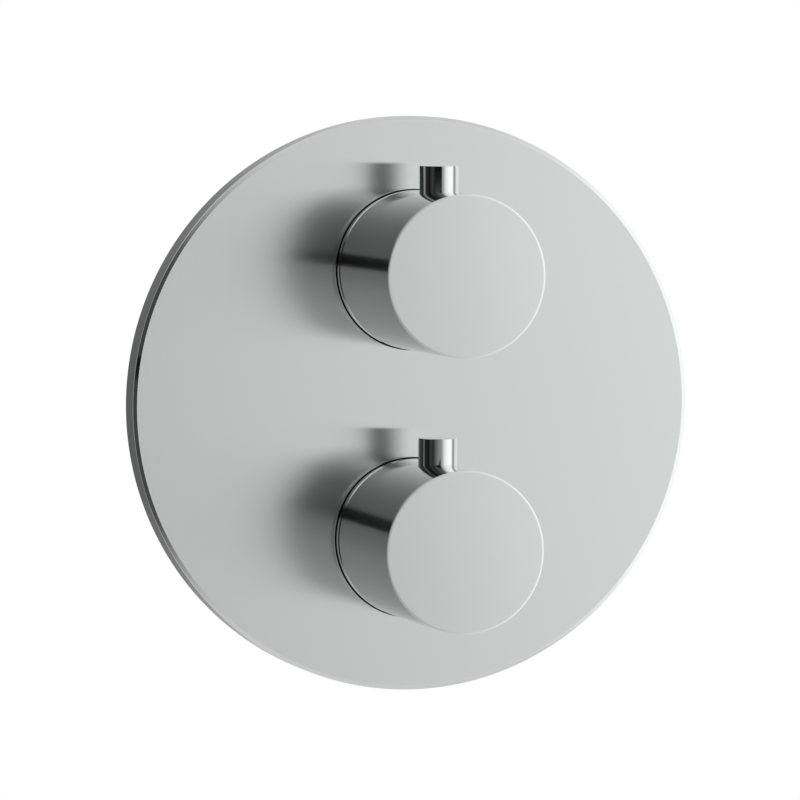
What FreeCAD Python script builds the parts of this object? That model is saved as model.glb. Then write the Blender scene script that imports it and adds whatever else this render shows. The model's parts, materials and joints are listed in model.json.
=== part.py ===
import FreeCAD
import Part
import math
import os

# Concealed thermostatic shower valve with two knobs on a round face plate, in millimetres.
# Frame: the origin is the centre of the face plate's back plane, on the finished wall.
# +Z is up, +X is to the right for somebody facing the wall, -Y points out of the wall into
# the room and +Y into the wall. Upper knob: flow and diverter. Lower knob: temperature.
# Angles about a knob's axis start at 12 o'clock and grow anticlockwise, seen from the room.

# ---------------------------------------------------------------- driving dimensions
# face plate
PLATE_RADIUS = 90.0
PLATE_DEPTH = 10.0
PLATE_SHEET = 2.0
PLATE_CHAMFER_WIDTH = 1.2
PLATE_CHAMFER_DEPTH = 0.5
PLATE_NECK_WALL = 2.6
PLATE_NECK_LENGTH = 7.0
WALL_SEAL_WIDTH = 4.0

# both knobs, the sleeves behind them and the pins on them
AXIS_SPACING = 84.0
KNOB_RADIUS = 25.0
KNOB_LENGTH = 54.5
KNOB_WALL = 4.0
KNOB_FRONT_WALL = 4.0
KNOB_EDGE_RADIUS = 0.6
KNOB_REAR_BEVEL = 0.35
KNOB_GAP = 0.6
PIN_RADIUS = 6.0
PIN_STANDOUT = 8.0
PIN_FLAT_DEPTH = 1.0
PIN_FROM_KNOB_REAR = 23.7
PIN_EDGE = 0.15
PIN_STUD_RADIUS = 3.0
PIN_STUD_LENGTH = 6.5
GRUB_RADIUS = 2.5
GRUB_LENGTH = 6.5
GRUB_RECESS = 0.8
GRUB_SOCKET_FLATS = 2.5
GRUB_SOCKET_DEPTH = 2.6
SLEEVE_STANDOUT = 3.4
SLEEVE_WALL = 3.5
SLEEVE_EDGE = 0.35
SLEEVE_HOLE_GAP = 0.25
SLEEVE_SEAL_WIDTH = 3.0
SLEEVE_SEAL_THICK = 2.0
SLEEVE_SEAL_FORWARD = 0.4

# plastic adapter between knob and spindle
ADAPTER_LENGTH = 27.0
ADAPTER_FROM_KNOB_REAR = 3.0
ADAPTER_HUB_RADIUS = 9.5
ADAPTER_RIM_WALL = 5.0
ADAPTER_WEB = 9.0
SPINDLE_WEB = 3.0
ADAPTER_SCREW_RADIUS = 2.0
ADAPTER_SCREW_LENGTH = 12.0
ADAPTER_SCREW_HEAD_RADIUS = 3.6
ADAPTER_SCREW_HEAD = 2.6
ADAPTER_SCREW_SUNK = 5.0
ADAPTER_SCREW_SOCKET_FLATS = 3.0
ADAPTER_SCREW_SOCKET_DEPTH = 1.5
SPLINE_TIP_RADIUS = 4.0
SPLINE_TOOTH_DEPTH = 0.4
SPLINE_TEETH = 20
# one tooth: shares of its pitch, each with the share of the depth reached there
SPLINE_TOOTH_FORM = ((0.0, 0.0), (0.3, 1.0), (0.5, 1.0), (0.8, 0.0))

# turning limits of the knobs, held by lugs on the adapters and the stop rings
DIVERTER_LIMIT_DEG = 90.0
HOT_LIMIT_DEG = 90.0
COLD_LIMIT_DEG = -150.0
STOP_MARGIN_DEG = 1.0
LUG_HALF_DEG = 12.0
LUG_CENTRE_DEG = 180.0
STOP_RING_THICK = 3.0
STOP_RING_SIDE_GAP = 2.0
STOP_LUG_RADIAL = 4.5
STOP_LUG_HEIGHT = 3.4
STOP_AXIAL_GAP = 0.4
STOP_RING_FROM_HEX = 1.0

# brass valve body in the wall
BARREL_RADIUS = 24.0
BARREL_EDGE = 0.6
NECK_RADIUS = 21.0
NECK_LENGTH = 12.0
BARREL_FRONT_Y = 2.0
BODY_BACK_Y = 60.0
POCKET_RADIUS = 17.0
LOWER_POCKET_DEPTH = 48.0
UPPER_POCKET_DEPTH = 38.0
MIX_CHAMBER_RADIUS = 12.0
MIX_CHAMBER_DEPTH = 6.0
WEB_HALF_WIDTH = 15.0
WEB_DEPTH = 20.0
WEB_EDGE_RADIUS = 5.0
RISER_RADIUS = 5.0
RISER_FROM_BACK = 8.0
ARM_RADIUS = 12.5
MOUTH_HEX_FLATS = 27.0
MOUTH_HEX_LENGTH = 11.0
MOUTH_EDGE = 0.8
ARM_REACH = 60.0
ARM_Y = 35.0
SIDE_OUTLET_REACH = 58.0
TOP_OUTLET_REACH = 80.0
OUTLET_Y = 42.0
THREAD_RADIUS = 9.3
THREAD_LENGTH = 13.0
INLET_PASSAGE_RADIUS = 3.5
INLET_PASSAGE_OFFSET = 5.0
GALLERY_WIDTH = 6.0
GALLERY_DEPTH = 2.0
PORT_RADIUS = 3.5
PORT_CIRCLE_RADIUS = 8.3
OUTLET_PORT_DEG = 54.0
PORT_RUN = 6.0
OUTLET_DUCT_RADIUS = 4.0
PLUG_RADIUS = 6.0
PLUG_POCKET_GAP = 0.4
PLUG_HEAD_RADIUS = 7.0
PLUG_HEAD = 2.5
PLUG_SEAT_DEPTH = 2.0
PLUG_SOCKET_FLATS = 6.0
PLUG_SOCKET_DEPTH = 3.5

# steel mounting bracket on the valve body's back
BRACKET_HALF_WIDTH = 52.0
BRACKET_HALF_HEIGHT = 32.0
BRACKET_THICK = 2.5
BRACKET_CORNER = 8.0
BRACKET_SLOT_SPACING_X = 84.0
BRACKET_SLOT_SPACING_Z = 44.0
BRACKET_SLOT_LENGTH = 12.0
BRACKET_SLOT_HALF_WIDTH = 2.75
BRACKET_SCREW_RADIUS = 2.0
BRACKET_SCREW_HEAD_RADIUS = 3.8
BRACKET_SCREW_LENGTH = 11.0
BRACKET_SCREW_SOCKET_FLATS = 2.4
BRACKET_SCREW_X = 10.5
BRACKET_SCREW_Z = 10.0

# what both cartridges share: bonnet, spindle, circlip and spindle seal
BONNET_FLANGE = 2.0
BONNET_FLANGE_SIDE_GAP = 2.0
BONNET_HEX = 6.0
BONNET_HEX_FLATS = 30.0
BONNET_TUBE_RADIUS = 9.0
BONNET_TUBE_LENGTH = 8.0
BONNET_SKIRT = 12.0
BONNET_CAVITY_RADIUS = 9.5
BONNET_FLOOR = 3.0
SPINDLE_FLANGE_RADIUS = 8.5
SPINDLE_FLANGE = 2.7
CIRCLIP_RADIUS = 6.5
CIRCLIP_THICK = 0.8
CIRCLIP_GROOVE = 0.8
CIRCLIP_OPENING_DEG = 70.0
SPINDLE_SEAL_WIDTH = 1.7
SPINDLE_SEAL_THICK = 1.1
HOUSING_SEAL_WIDTH = 2.4
HOUSING_SEAL_THICK = 1.8

# thermostatic cartridge
CARTRIDGE_RADIUS = 16.8
HOUSING_BORE = 13.0
HOUSING_LENGTH = 35.0
WINDOW_WIDTH = 3.6
WINDOW_COUNT = 6
WINDOW_SPAN = 8.0
FILTER_THICK = 0.6
FILTER_RECESS = 0.8
FILTER_HOLE_COUNT = 18
FILTER_HOLE_RADIUS = 1.0
THREAD_SPINDLE_RADIUS = 6.0
THREAD_SPINDLE_LENGTH = 9.6
NUT_RADIUS = 12.6
NUT_LENGTH = 11.0
NUT_FRONT_CLEARANCE = 2.0
NUT_FLOOR = 2.6
NUT_CUP_RADIUS = 9.9
KEY_WIDTH = 4.0
KEY_HEIGHT = 1.5
KEY_ROOT = 0.5
PLUNGER_THICK = 1.2
PLUNGER_FROM_NUT_REAR = 1.6
SNAP_RING_THICK = 0.8
SNAP_RING_DEPTH = 0.7
SNAP_RING_OPENING_DEG = 35.0
OVERLOAD_WIRE_RADIUS = 0.7
OVERLOAD_MEAN_RADIUS = 8.4
OVERLOAD_TURNS = 2.0
PISTON_RADIUS = 1.5
PISTON_LENGTH = 7.6
ELEMENT_RADIUS = 4.5
ELEMENT_NECK_RADIUS = 3.0
ELEMENT_NECK = 3.5
ELEMENT_END_CLEARANCE = 1.0
ELEMENT_SHOULDER = 0.5
ELEMENT_CHAMFER = 1.0
SHUTTLE_RADIUS = 12.9
SHUTTLE_LENGTH = 5.0
SHUTTLE_HOLE_COUNT = 6
SHUTTLE_HOLE_RADIUS = 1.7
SHUTTLE_HOLE_CIRCLE = 9.8
RETURN_WIRE_RADIUS = 0.5
RETURN_MEAN_RADIUS = 6.2
RETURN_TURNS = 4.0
END_DISC_THICK = 3.5
END_DISC_HOLE_RADIUS = 2.2
END_DISC_OUTLET_RADIUS = 3.0

# diverter cartridge
DISC_CHAMBER_RADIUS = 13.9
MOVING_DISC_RADIUS = 13.6
MOVING_DISC_THICK = 4.4
FIXED_DISC_THICK = 4.4
CARRIER_THICK = 5.4
CARRIER_BOSS_RADIUS = 9.0
CARRIER_FRONT_GAP = 0.6
CARRIER_BOSS_GAP = 1.0
TANG_THICK = 6.0
TANG_WIDTH = 12.0
TANG_LENGTH = 5.0
KIDNEY_INNER = 5.0
KIDNEY_OUTER = 11.5
KIDNEY_DEPTH = 2.4
KIDNEY_SPAN_DEG = 200.0
DOG_HEIGHT = 1.5
DOG_RADIAL = 1.8
DOG_HALF_DEG = 8.0
DOG_PLACES_DEG = (90.0, 270.0)
DIVERTER_HOUSING_LENGTH = 16.0
BASE_SEAL_THICK = 1.7
BASE_SEAL_WIDTH = 1.8
BASE_FLOOR_GAP = 0.2

# check valve in each inlet: u runs inwards from the inlet's open end
CHECK_BORE_RADIUS = 8.8
CHECK_BORE_LENGTH = 22.0
STRAINER_THICK = 2.0
STRAINER_SHEET = 0.6
STRAINER_RIM = 1.7
STRAINER_HOLE_RADIUS = 0.9
STRAINER_HOLE_PITCH = 2.7
# rings of holes about the middle one: each has this many more holes than the ring inside it
STRAINER_RING_COUNT = 2
STRAINER_RING_STEP_COUNT = 6
CAGE_LENGTH = 17.8
CAGE_WALL = 2.2
CAGE_SEAT = 1.8
CAGE_SEAT_BORE = 4.5
SPIDER_THICK = 2.0
SPIDER_FROM_REAR = 1.5
SPIDER_HUB_RADIUS = 2.8
SPIDER_ARM_COUNT = 3
SPIDER_ARM_WIDTH = 1.8
SPIDER_ARM_ROOT = 0.5
POPPET_RADIUS = 5.6
POPPET_HEAD = 1.4
POPPET_STEM_RADIUS = 1.5
POPPET_STEM_LENGTH = 13.0
CHECK_WIRE_RADIUS = 0.25
CHECK_MEAN_RADIUS = 3.4
CHECK_TURNS = 6.0
CAGE_SEAL_WIDTH = 1.8
CAGE_SEAL_THICK = 1.2

# clearances by kind of fit
RUNNING_FIT = 0.05
FIXED_FIT = 0.05
LOOSE_FIT = 0.3
FACE_GAP = 0.02
SPRING_SEAT_GAP = 0.1

# how far a cutter reaches past the face that it opens
CUT_OVER = 1.0
# how near its top plane an edge lies to belong to it
EDGE_BAND = 0.01
# points in one turn of a spring at which its least gap is measured
GAP_STEP_COUNT = 24

# ---------------------------------------------------------------- places that follow
UPPER_Z = AXIS_SPACING / 2
LOWER_Z = -AXIS_SPACING / 2
PLATE_FRONT_Y = -PLATE_DEPTH
PLATE_INNER_Y = PLATE_FRONT_Y + PLATE_SHEET
SLEEVE_FRONT_Y = PLATE_FRONT_Y - SLEEVE_STANDOUT
KNOB_REAR_Y = SLEEVE_FRONT_Y - KNOB_GAP
KNOB_FRONT_Y = KNOB_REAR_Y - KNOB_LENGTH
PIN_Y = KNOB_REAR_Y - PIN_FROM_KNOB_REAR
KNOB_BORE = KNOB_RADIUS - KNOB_WALL
PIN_SEAT = KNOB_RADIUS - PIN_FLAT_DEPTH
SLEEVE_BORE = KNOB_RADIUS - SLEEVE_WALL
STOP_RING_RADIUS = SLEEVE_BORE - STOP_RING_SIDE_GAP
PLATE_HOLE = KNOB_RADIUS + SLEEVE_HOLE_GAP
PLATE_NECK_REAR_Y = PLATE_INNER_Y + PLATE_NECK_LENGTH
SLEEVE_SEAL_MID_Y = PLATE_INNER_Y + PLATE_NECK_LENGTH / 2 - SLEEVE_SEAL_FORWARD
SLEEVE_GROOVE = PLATE_HOLE - SLEEVE_SEAL_THICK

ADAPTER_RADIUS = KNOB_BORE - FIXED_FIT
ADAPTER_REAR_Y = KNOB_REAR_Y - ADAPTER_FROM_KNOB_REAR
ADAPTER_FRONT_Y = ADAPTER_REAR_Y - ADAPTER_LENGTH
SCREW_SEAT_Y = ADAPTER_FRONT_Y + ADAPTER_SCREW_SUNK
SPINDLE_FRONT_Y = SCREW_SEAT_Y + SPINDLE_WEB + LOOSE_FIT
SPLINE_LENGTH = ADAPTER_REAR_Y - SPINDLE_FRONT_Y + LOOSE_FIT

SHOULDER_Y = BARREL_FRONT_Y + NECK_LENGTH
BONNET_FLANGE_RADIUS = SLEEVE_BORE - BONNET_FLANGE_SIDE_GAP
FLANGE_FRONT_Y = BARREL_FRONT_Y - BONNET_FLANGE
HEX_FRONT_Y = FLANGE_FRONT_Y - BONNET_HEX
TUBE_FRONT_Y = HEX_FRONT_Y - BONNET_TUBE_LENGTH
CARTRIDGE_FRONT_Y = BARREL_FRONT_Y + BONNET_SKIRT
BONNET_FLOOR_Y = BARREL_FRONT_Y + BONNET_FLOOR
SPINDLE_FLANGE_Y = BONNET_FLOOR_Y + LOOSE_FIT
SPINDLE_FLANGE_REAR_Y = SPINDLE_FLANGE_Y + SPINDLE_FLANGE
CIRCLIP_REAR_Y = TUBE_FRONT_Y - LOOSE_FIT
STOP_RING_REAR_Y = HEX_FRONT_Y - STOP_RING_FROM_HEX
STOP_RING_FRONT_Y = STOP_RING_REAR_Y - STOP_RING_THICK
SPINDLE_SEAL_Y = FLANGE_FRONT_Y - BONNET_HEX / 2

LOWER_FLOOR_Y = BARREL_FRONT_Y + LOWER_POCKET_DEPTH
UPPER_FLOOR_Y = BARREL_FRONT_Y + UPPER_POCKET_DEPTH
RISER_Y = BODY_BACK_Y - RISER_FROM_BACK
COLD_Y = ARM_Y - INLET_PASSAGE_OFFSET
HOT_Y = ARM_Y + INLET_PASSAGE_OFFSET
CHECK_START = THREAD_LENGTH
CHECK_END = CHECK_START + CHECK_BORE_LENGTH
PLUG_SEAT_Z = LOWER_Z - BARREL_RADIUS + PLUG_SEAT_DEPTH
PLUG_THREAD_LENGTH = BARREL_RADIUS - PLUG_SEAT_DEPTH - POCKET_RADIUS - PLUG_POCKET_GAP

HOUSING_REAR_Y = CARTRIDGE_FRONT_Y + HOUSING_LENGTH
NUT_FRONT_Y = CARTRIDGE_FRONT_Y + NUT_FRONT_CLEARANCE
NUT_REAR_Y = NUT_FRONT_Y + NUT_LENGTH
NUT_FLOOR_Y = NUT_FRONT_Y + NUT_FLOOR
PLUNGER_REAR_Y = NUT_REAR_Y - PLUNGER_FROM_NUT_REAR
PLUNGER_FRONT_Y = PLUNGER_REAR_Y - PLUNGER_THICK
SHUTTLE_FRONT_Y = ARM_Y - SHUTTLE_LENGTH / 2
SHUTTLE_REAR_Y = ARM_Y + SHUTTLE_LENGTH / 2
END_DISC_FRONT_Y = HOUSING_REAR_Y - END_DISC_THICK
ELEMENT_FRONT_Y = SHUTTLE_FRONT_Y - ELEMENT_SHOULDER
ELEMENT_NECK_Y = ELEMENT_FRONT_Y - ELEMENT_NECK
ELEMENT_REAR_Y = END_DISC_FRONT_Y - ELEMENT_END_CLEARANCE
THERMO_SEAL_YS = (
    (NUT_FRONT_Y + NUT_REAR_Y) / 2,
    ARM_Y,
    (HOT_Y + GALLERY_WIDTH / 2 + HOUSING_REAR_Y) / 2,
)

DISC_FRONT_Y = CARTRIDGE_FRONT_Y + CARRIER_FRONT_GAP + CARRIER_THICK
DISC_REAR_Y = DISC_FRONT_Y + MOVING_DISC_THICK
FIXED_DISC_Y = DISC_REAR_Y + FACE_GAP
FIXED_DISC_REAR_Y = FIXED_DISC_Y + FIXED_DISC_THICK
DIVERTER_HOUSING_REAR_Y = CARTRIDGE_FRONT_Y + DIVERTER_HOUSING_LENGTH
BASE_REAR_Y = UPPER_FLOOR_Y - BASE_FLOOR_GAP
BASE_SEAL_FRONT_Y = UPPER_FLOOR_Y - BASE_SEAL_WIDTH
DIVERTER_SEAL_YS = (
    CARTRIDGE_FRONT_Y + HOUSING_SEAL_WIDTH * 2,
    (DIVERTER_HOUSING_REAR_Y + BASE_REAR_Y) / 2,
)
# distances inwards from an inlet's mouth
STRAINER_START = CHECK_START
CAGE_START = STRAINER_START + STRAINER_THICK + FIXED_FIT
CAGE_RADIUS = CHECK_BORE_RADIUS - FIXED_FIT
CAGE_BORE = CAGE_RADIUS - CAGE_WALL
CAGE_END = CAGE_START + CAGE_LENGTH
SPIDER_END = CAGE_END - SPIDER_FROM_REAR
SPIDER_START = SPIDER_END - SPIDER_THICK
POPPET_START = CAGE_START + CAGE_SEAT + FACE_GAP
POPPET_REAR = POPPET_START + POPPET_HEAD
# the three ports under the discs: mixed water in at the bottom, the two outlets above
INLET_PORT = (0.0, -PORT_CIRCLE_RADIUS)
LEFT_PORT = (
    -PORT_CIRCLE_RADIUS * math.sin(math.radians(OUTLET_PORT_DEG)),
    PORT_CIRCLE_RADIUS * math.cos(math.radians(OUTLET_PORT_DEG)),
)
RIGHT_PORT = (-LEFT_PORT[0], LEFT_PORT[1])
PORTS = (INLET_PORT, LEFT_PORT, RIGHT_PORT)

ORIGIN = FreeCAD.Vector(0, 0, 0)
TO_ROOM = FreeCAD.Vector(0, -1, 0)
INTO_WALL = FreeCAD.Vector(0, 1, 0)
RIGHT = FreeCAD.Vector(1, 0, 0)
UP = FreeCAD.Vector(0, 0, 1)


# ---------------------------------------------------------------- building blocks
def turned(profile, centre_z=0.0, start_deg=0.0, sweep_deg=360.0):
    """Turn (radius, y) points about the line x = 0, z = centre_z, whole or in part."""
    points = [FreeCAD.Vector(0, y, radius) for radius, y in profile]
    face = Part.Face(Part.makePolygon(points + points[:1]))
    solid = face.revolve(ORIGIN, TO_ROOM, sweep_deg)
    solid.rotate(ORIGIN, TO_ROOM, start_deg)
    solid.translate(UP * centre_z)
    return solid


def ring(inner, outer, front, rear, centre_z=0.0):
    """Plain ring, or a disc where inner is 0, from y = front to y = rear."""
    return turned([(inner, front), (outer, front), (outer, rear), (inner, rear)], centre_z)


def disc(radius, front, rear, centre_z=0.0):
    """Plain disc or bar about a knob's axis."""
    return ring(0.0, radius, front, rear, centre_z)


def sector(inner, outer, front, rear, start_deg, sweep_deg, centre_z=0.0):
    """Piece of a ring from start_deg, sweeping anticlockwise as seen from the room."""
    profile = [(inner, front), (outer, front), (outer, rear), (inner, rear)]
    return turned(profile, centre_z, start_deg, sweep_deg)


def seal_ring(inner, outer, middle, width, centre_z=0.0):
    """Squeezed O-ring: flat where it touches inner and outer, round on its two free sides."""
    bulge = (outer - inner) / 2
    front = middle - width / 2
    rear = middle + width / 2
    low_in = FreeCAD.Vector(0, front + bulge, inner)
    low_out = FreeCAD.Vector(0, front + bulge, outer)
    high_out = FreeCAD.Vector(0, rear - bulge, outer)
    high_in = FreeCAD.Vector(0, rear - bulge, inner)
    front_tip = FreeCAD.Vector(0, front, inner + bulge)
    rear_tip = FreeCAD.Vector(0, rear, inner + bulge)
    edges = [
        Part.Arc(low_in, front_tip, low_out).toShape(),
        Part.LineSegment(low_out, high_out).toShape(),
        Part.Arc(high_out, rear_tip, high_in).toShape(),
        Part.LineSegment(high_in, low_in).toShape(),
    ]
    solid = Part.Face(Part.Wire(edges)).revolve(ORIGIN, TO_ROOM, 360)
    solid.translate(UP * centre_z)
    return solid


def rod(radius, start, direction, length):
    """Round bar from a start point along a direction."""
    return Part.makeCylinder(radius, length, FreeCAD.Vector(*start), direction)


def block(x_range, y_range, z_range):
    """Box between three pairs of limits."""
    lows = [min(pair) for pair in (x_range, y_range, z_range)]
    sizes = [abs(pair[1] - pair[0]) for pair in (x_range, y_range, z_range)]
    return Part.makeBox(*sizes, FreeCAD.Vector(*lows))


def prism(outline, front, rear, centre_z=0.0):
    """Extrude an outline of (x, z) points along the wall's depth."""
    points = [FreeCAD.Vector(x, front, centre_z + z) for x, z in outline]
    return Part.Face(Part.makePolygon(points + points[:1])).extrude(INTO_WALL * (rear - front))


def hexagon(flats):
    """Outline of a hexagon with the given width across its flats."""
    corner = flats / 2 / math.cos(math.radians(30))
    angles = [math.radians(60 * side) for side in range(6)]
    return [(corner * math.cos(angle), corner * math.sin(angle)) for angle in angles]


def spline_outline(tip, depth):
    """Outline of the toothed end of a spindle, or of the hole that takes it."""
    outline = []
    step = 2 * math.pi / SPLINE_TEETH
    for tooth in range(SPLINE_TEETH):
        for share, height in SPLINE_TOOTH_FORM:
            angle = (tooth + share) * step
            radius = tip - depth + depth * height
            outline.append((radius * math.sin(angle), radius * math.cos(angle)))
    return outline


def arc_edge(start, tangent, end):
    """Circular edge that leaves start along tangent and reaches end."""
    chord = end - start
    along = FreeCAD.Vector(chord).normalize()
    across = tangent - along * tangent.dot(along)
    angle = math.atan2(across.Length, tangent.dot(along))
    rise = chord.Length / 2 * math.tan(angle / 2)
    middle = start + chord * 0.5 + across.normalize() * rise
    return Part.Arc(start, middle, end).toShape()


def coil_spring(label, mean_radius, wire_radius, front, rear, turns):
    """One unbroken wire wound about the Y axis between two seats, with two arcs to each quarter."""
    rise = (rear - front - 2 * wire_radius) / (2 * math.pi * turns)
    quarters = round(turns * 4)

    def place(angle):
        height = front + wire_radius + rise * angle
        return FreeCAD.Vector(mean_radius * math.sin(angle), height, mean_radius * math.cos(angle))

    def heading(angle):
        vector = FreeCAD.Vector(mean_radius * math.cos(angle), rise, -mean_radius * math.sin(angle))
        return vector.normalize()

    edges = []
    for quarter in range(quarters):
        first = quarter * math.pi / 2
        last = first + math.pi / 2
        start, end = place(first), place(last)
        leave, arrive = heading(first), heading(last)
        chord = end - start
        both = leave + arrive
        spread = 2 * (1 - leave.dot(arrive))
        root = math.sqrt(chord.dot(both) ** 2 + spread * chord.dot(chord))
        reach = (root - chord.dot(both)) / spread
        joint = (start + leave * reach + end - arrive * reach) * 0.5
        edges.append(arc_edge(start, leave, joint))
        turn = (end - arrive * reach - joint).normalize()
        edges.append(arc_edge(joint, turn, end))
    section = Part.Wire(Part.makeCircle(wire_radius, place(0), heading(0)))
    solid = Part.Wire(edges).makePipeShell([section], True, False)
    print(label, "least gap between turns, mm:", round(least_gap(place, wire_radius, turns), 3))
    return solid


def least_gap(place, wire_radius, turns):
    """Smallest distance between the surfaces of two stretches of wire over half a turn apart."""
    count = int(turns * GAP_STEP_COUNT) + 1
    points = [place(2 * math.pi * index / GAP_STEP_COUNT) for index in range(count)]
    gaps = []
    for index, point in enumerate(points):
        for other in points[index + GAP_STEP_COUNT // 2:]:
            gaps.append(point.distanceToPoint(other) - 2 * wire_radius)
    return min(gaps)


# ---------------------------------------------------------------- trim in front of the wall
def face_plate():
    """Shallow round cup with two holes; each hole has a short neck behind it for the sleeve's seal."""
    inner = PLATE_RADIUS - PLATE_SHEET
    shell = turned([
        (0, PLATE_FRONT_Y),
        (PLATE_RADIUS - PLATE_CHAMFER_WIDTH, PLATE_FRONT_Y),
        (PLATE_RADIUS, PLATE_FRONT_Y + PLATE_CHAMFER_DEPTH),
        (PLATE_RADIUS, 0),
        (inner, 0),
        (inner, PLATE_INNER_Y),
        (0, PLATE_INNER_Y),
    ])
    for centre_z in (UPPER_Z, LOWER_Z):
        neck = disc(PLATE_HOLE + PLATE_NECK_WALL, PLATE_INNER_Y, PLATE_NECK_REAR_Y, centre_z)
        shell = shell.fuse(neck)
    for centre_z in (UPPER_Z, LOWER_Z):
        shell = shell.cut(disc(PLATE_HOLE, PLATE_FRONT_Y - CUT_OVER, PLATE_NECK_REAR_Y + CUT_OVER, centre_z))
    return shell.removeSplitter()


def plate_wall_seal():
    """Soft ring inside the plate's rim, pressed between the plate and the tiles."""
    outer = PLATE_RADIUS - PLATE_SHEET - FIXED_FIT
    return ring(outer - WALL_SEAL_WIDTH, outer, PLATE_INNER_Y, 0)


def sleeve(centre_z):
    """Chromed tube screwed onto the valve body's neck; its front end shows behind the knob."""
    rear = SHOULDER_Y - LOOSE_FIT
    thread = NECK_RADIUS + FIXED_FIT
    groove_front = SLEEVE_SEAL_MID_Y - SLEEVE_SEAL_WIDTH / 2
    groove_rear = SLEEVE_SEAL_MID_Y + SLEEVE_SEAL_WIDTH / 2
    return turned([
        (SLEEVE_BORE + SLEEVE_EDGE, SLEEVE_FRONT_Y),
        (KNOB_RADIUS - SLEEVE_EDGE, SLEEVE_FRONT_Y),
        (KNOB_RADIUS, SLEEVE_FRONT_Y + SLEEVE_EDGE),
        (KNOB_RADIUS, groove_front),
        (SLEEVE_GROOVE, groove_front),
        (SLEEVE_GROOVE, groove_rear),
        (KNOB_RADIUS, groove_rear),
        (KNOB_RADIUS, rear),
        (thread, rear),
        (thread, BARREL_FRONT_Y),
        (SLEEVE_BORE, BARREL_FRONT_Y),
        (SLEEVE_BORE, SLEEVE_FRONT_Y + SLEEVE_EDGE),
    ], centre_z)


def sleeve_seal(centre_z):
    """O-ring in the sleeve's groove that grips the plate's neck."""
    return seal_ring(SLEEVE_GROOVE, PLATE_HOLE, SLEEVE_SEAL_MID_Y, SLEEVE_SEAL_WIDTH, centre_z)


def knob(centre_z):
    """Hollow cylinder closed at the front, tapped for the pin above and the grub screw below."""
    floor = KNOB_FRONT_Y + KNOB_FRONT_WALL
    shell = turned([
        (0, KNOB_FRONT_Y),
        (KNOB_RADIUS, KNOB_FRONT_Y),
        (KNOB_RADIUS, KNOB_REAR_Y - KNOB_REAR_BEVEL),
        (KNOB_RADIUS - KNOB_REAR_BEVEL, KNOB_REAR_Y),
        (KNOB_BORE, KNOB_REAR_Y),
        (KNOB_BORE, floor),
        (0, floor),
    ], centre_z)
    rim = [edge for edge in shell.Edges
           if edge.BoundBox.YMax < KNOB_FRONT_Y + EDGE_BAND and edge.BoundBox.XLength > KNOB_RADIUS]
    shell = shell.makeFillet(KNOB_EDGE_RADIUS, rim)
    seat = rod(PIN_RADIUS + FIXED_FIT, (0, PIN_Y, centre_z + PIN_SEAT), UP, PIN_FLAT_DEPTH + CUT_OVER)
    stud = rod(PIN_STUD_RADIUS + FIXED_FIT, (0, PIN_Y, centre_z), UP, KNOB_RADIUS)
    grub = rod(GRUB_RADIUS + FIXED_FIT, (0, PIN_Y, centre_z), UP * -1, KNOB_RADIUS + CUT_OVER)
    return shell.cut(seat).cut(stud).cut(grub)


def lever_pin(centre_z):
    """Short round pin that stands on the knob at 12 o'clock, held by its own stud."""
    top = centre_z + KNOB_RADIUS + PIN_STANDOUT
    seat = centre_z + PIN_SEAT
    head = rod(PIN_RADIUS, (0, PIN_Y, seat), UP, top - seat)
    rim = [edge for edge in head.Edges if edge.BoundBox.ZMin > top - EDGE_BAND]
    head = head.makeFillet(PIN_EDGE, rim)
    stud = rod(PIN_STUD_RADIUS, (0, PIN_Y, seat - PIN_STUD_LENGTH), UP, PIN_STUD_LENGTH)
    return head.fuse(stud)


def grub_screw(centre_z):
    """Hexagon-socket set screw at 6 o'clock that presses on the adapter."""
    outer = centre_z - KNOB_RADIUS + GRUB_RECESS
    screw = rod(GRUB_RADIUS, (0, PIN_Y, outer), UP, GRUB_LENGTH)
    socket = prism(hexagon(GRUB_SOCKET_FLATS), 0, GRUB_SOCKET_DEPTH)
    socket.rotate(ORIGIN, RIGHT, 90)
    socket.translate(FreeCAD.Vector(0, PIN_Y, outer))
    return screw.cut(socket)


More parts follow.
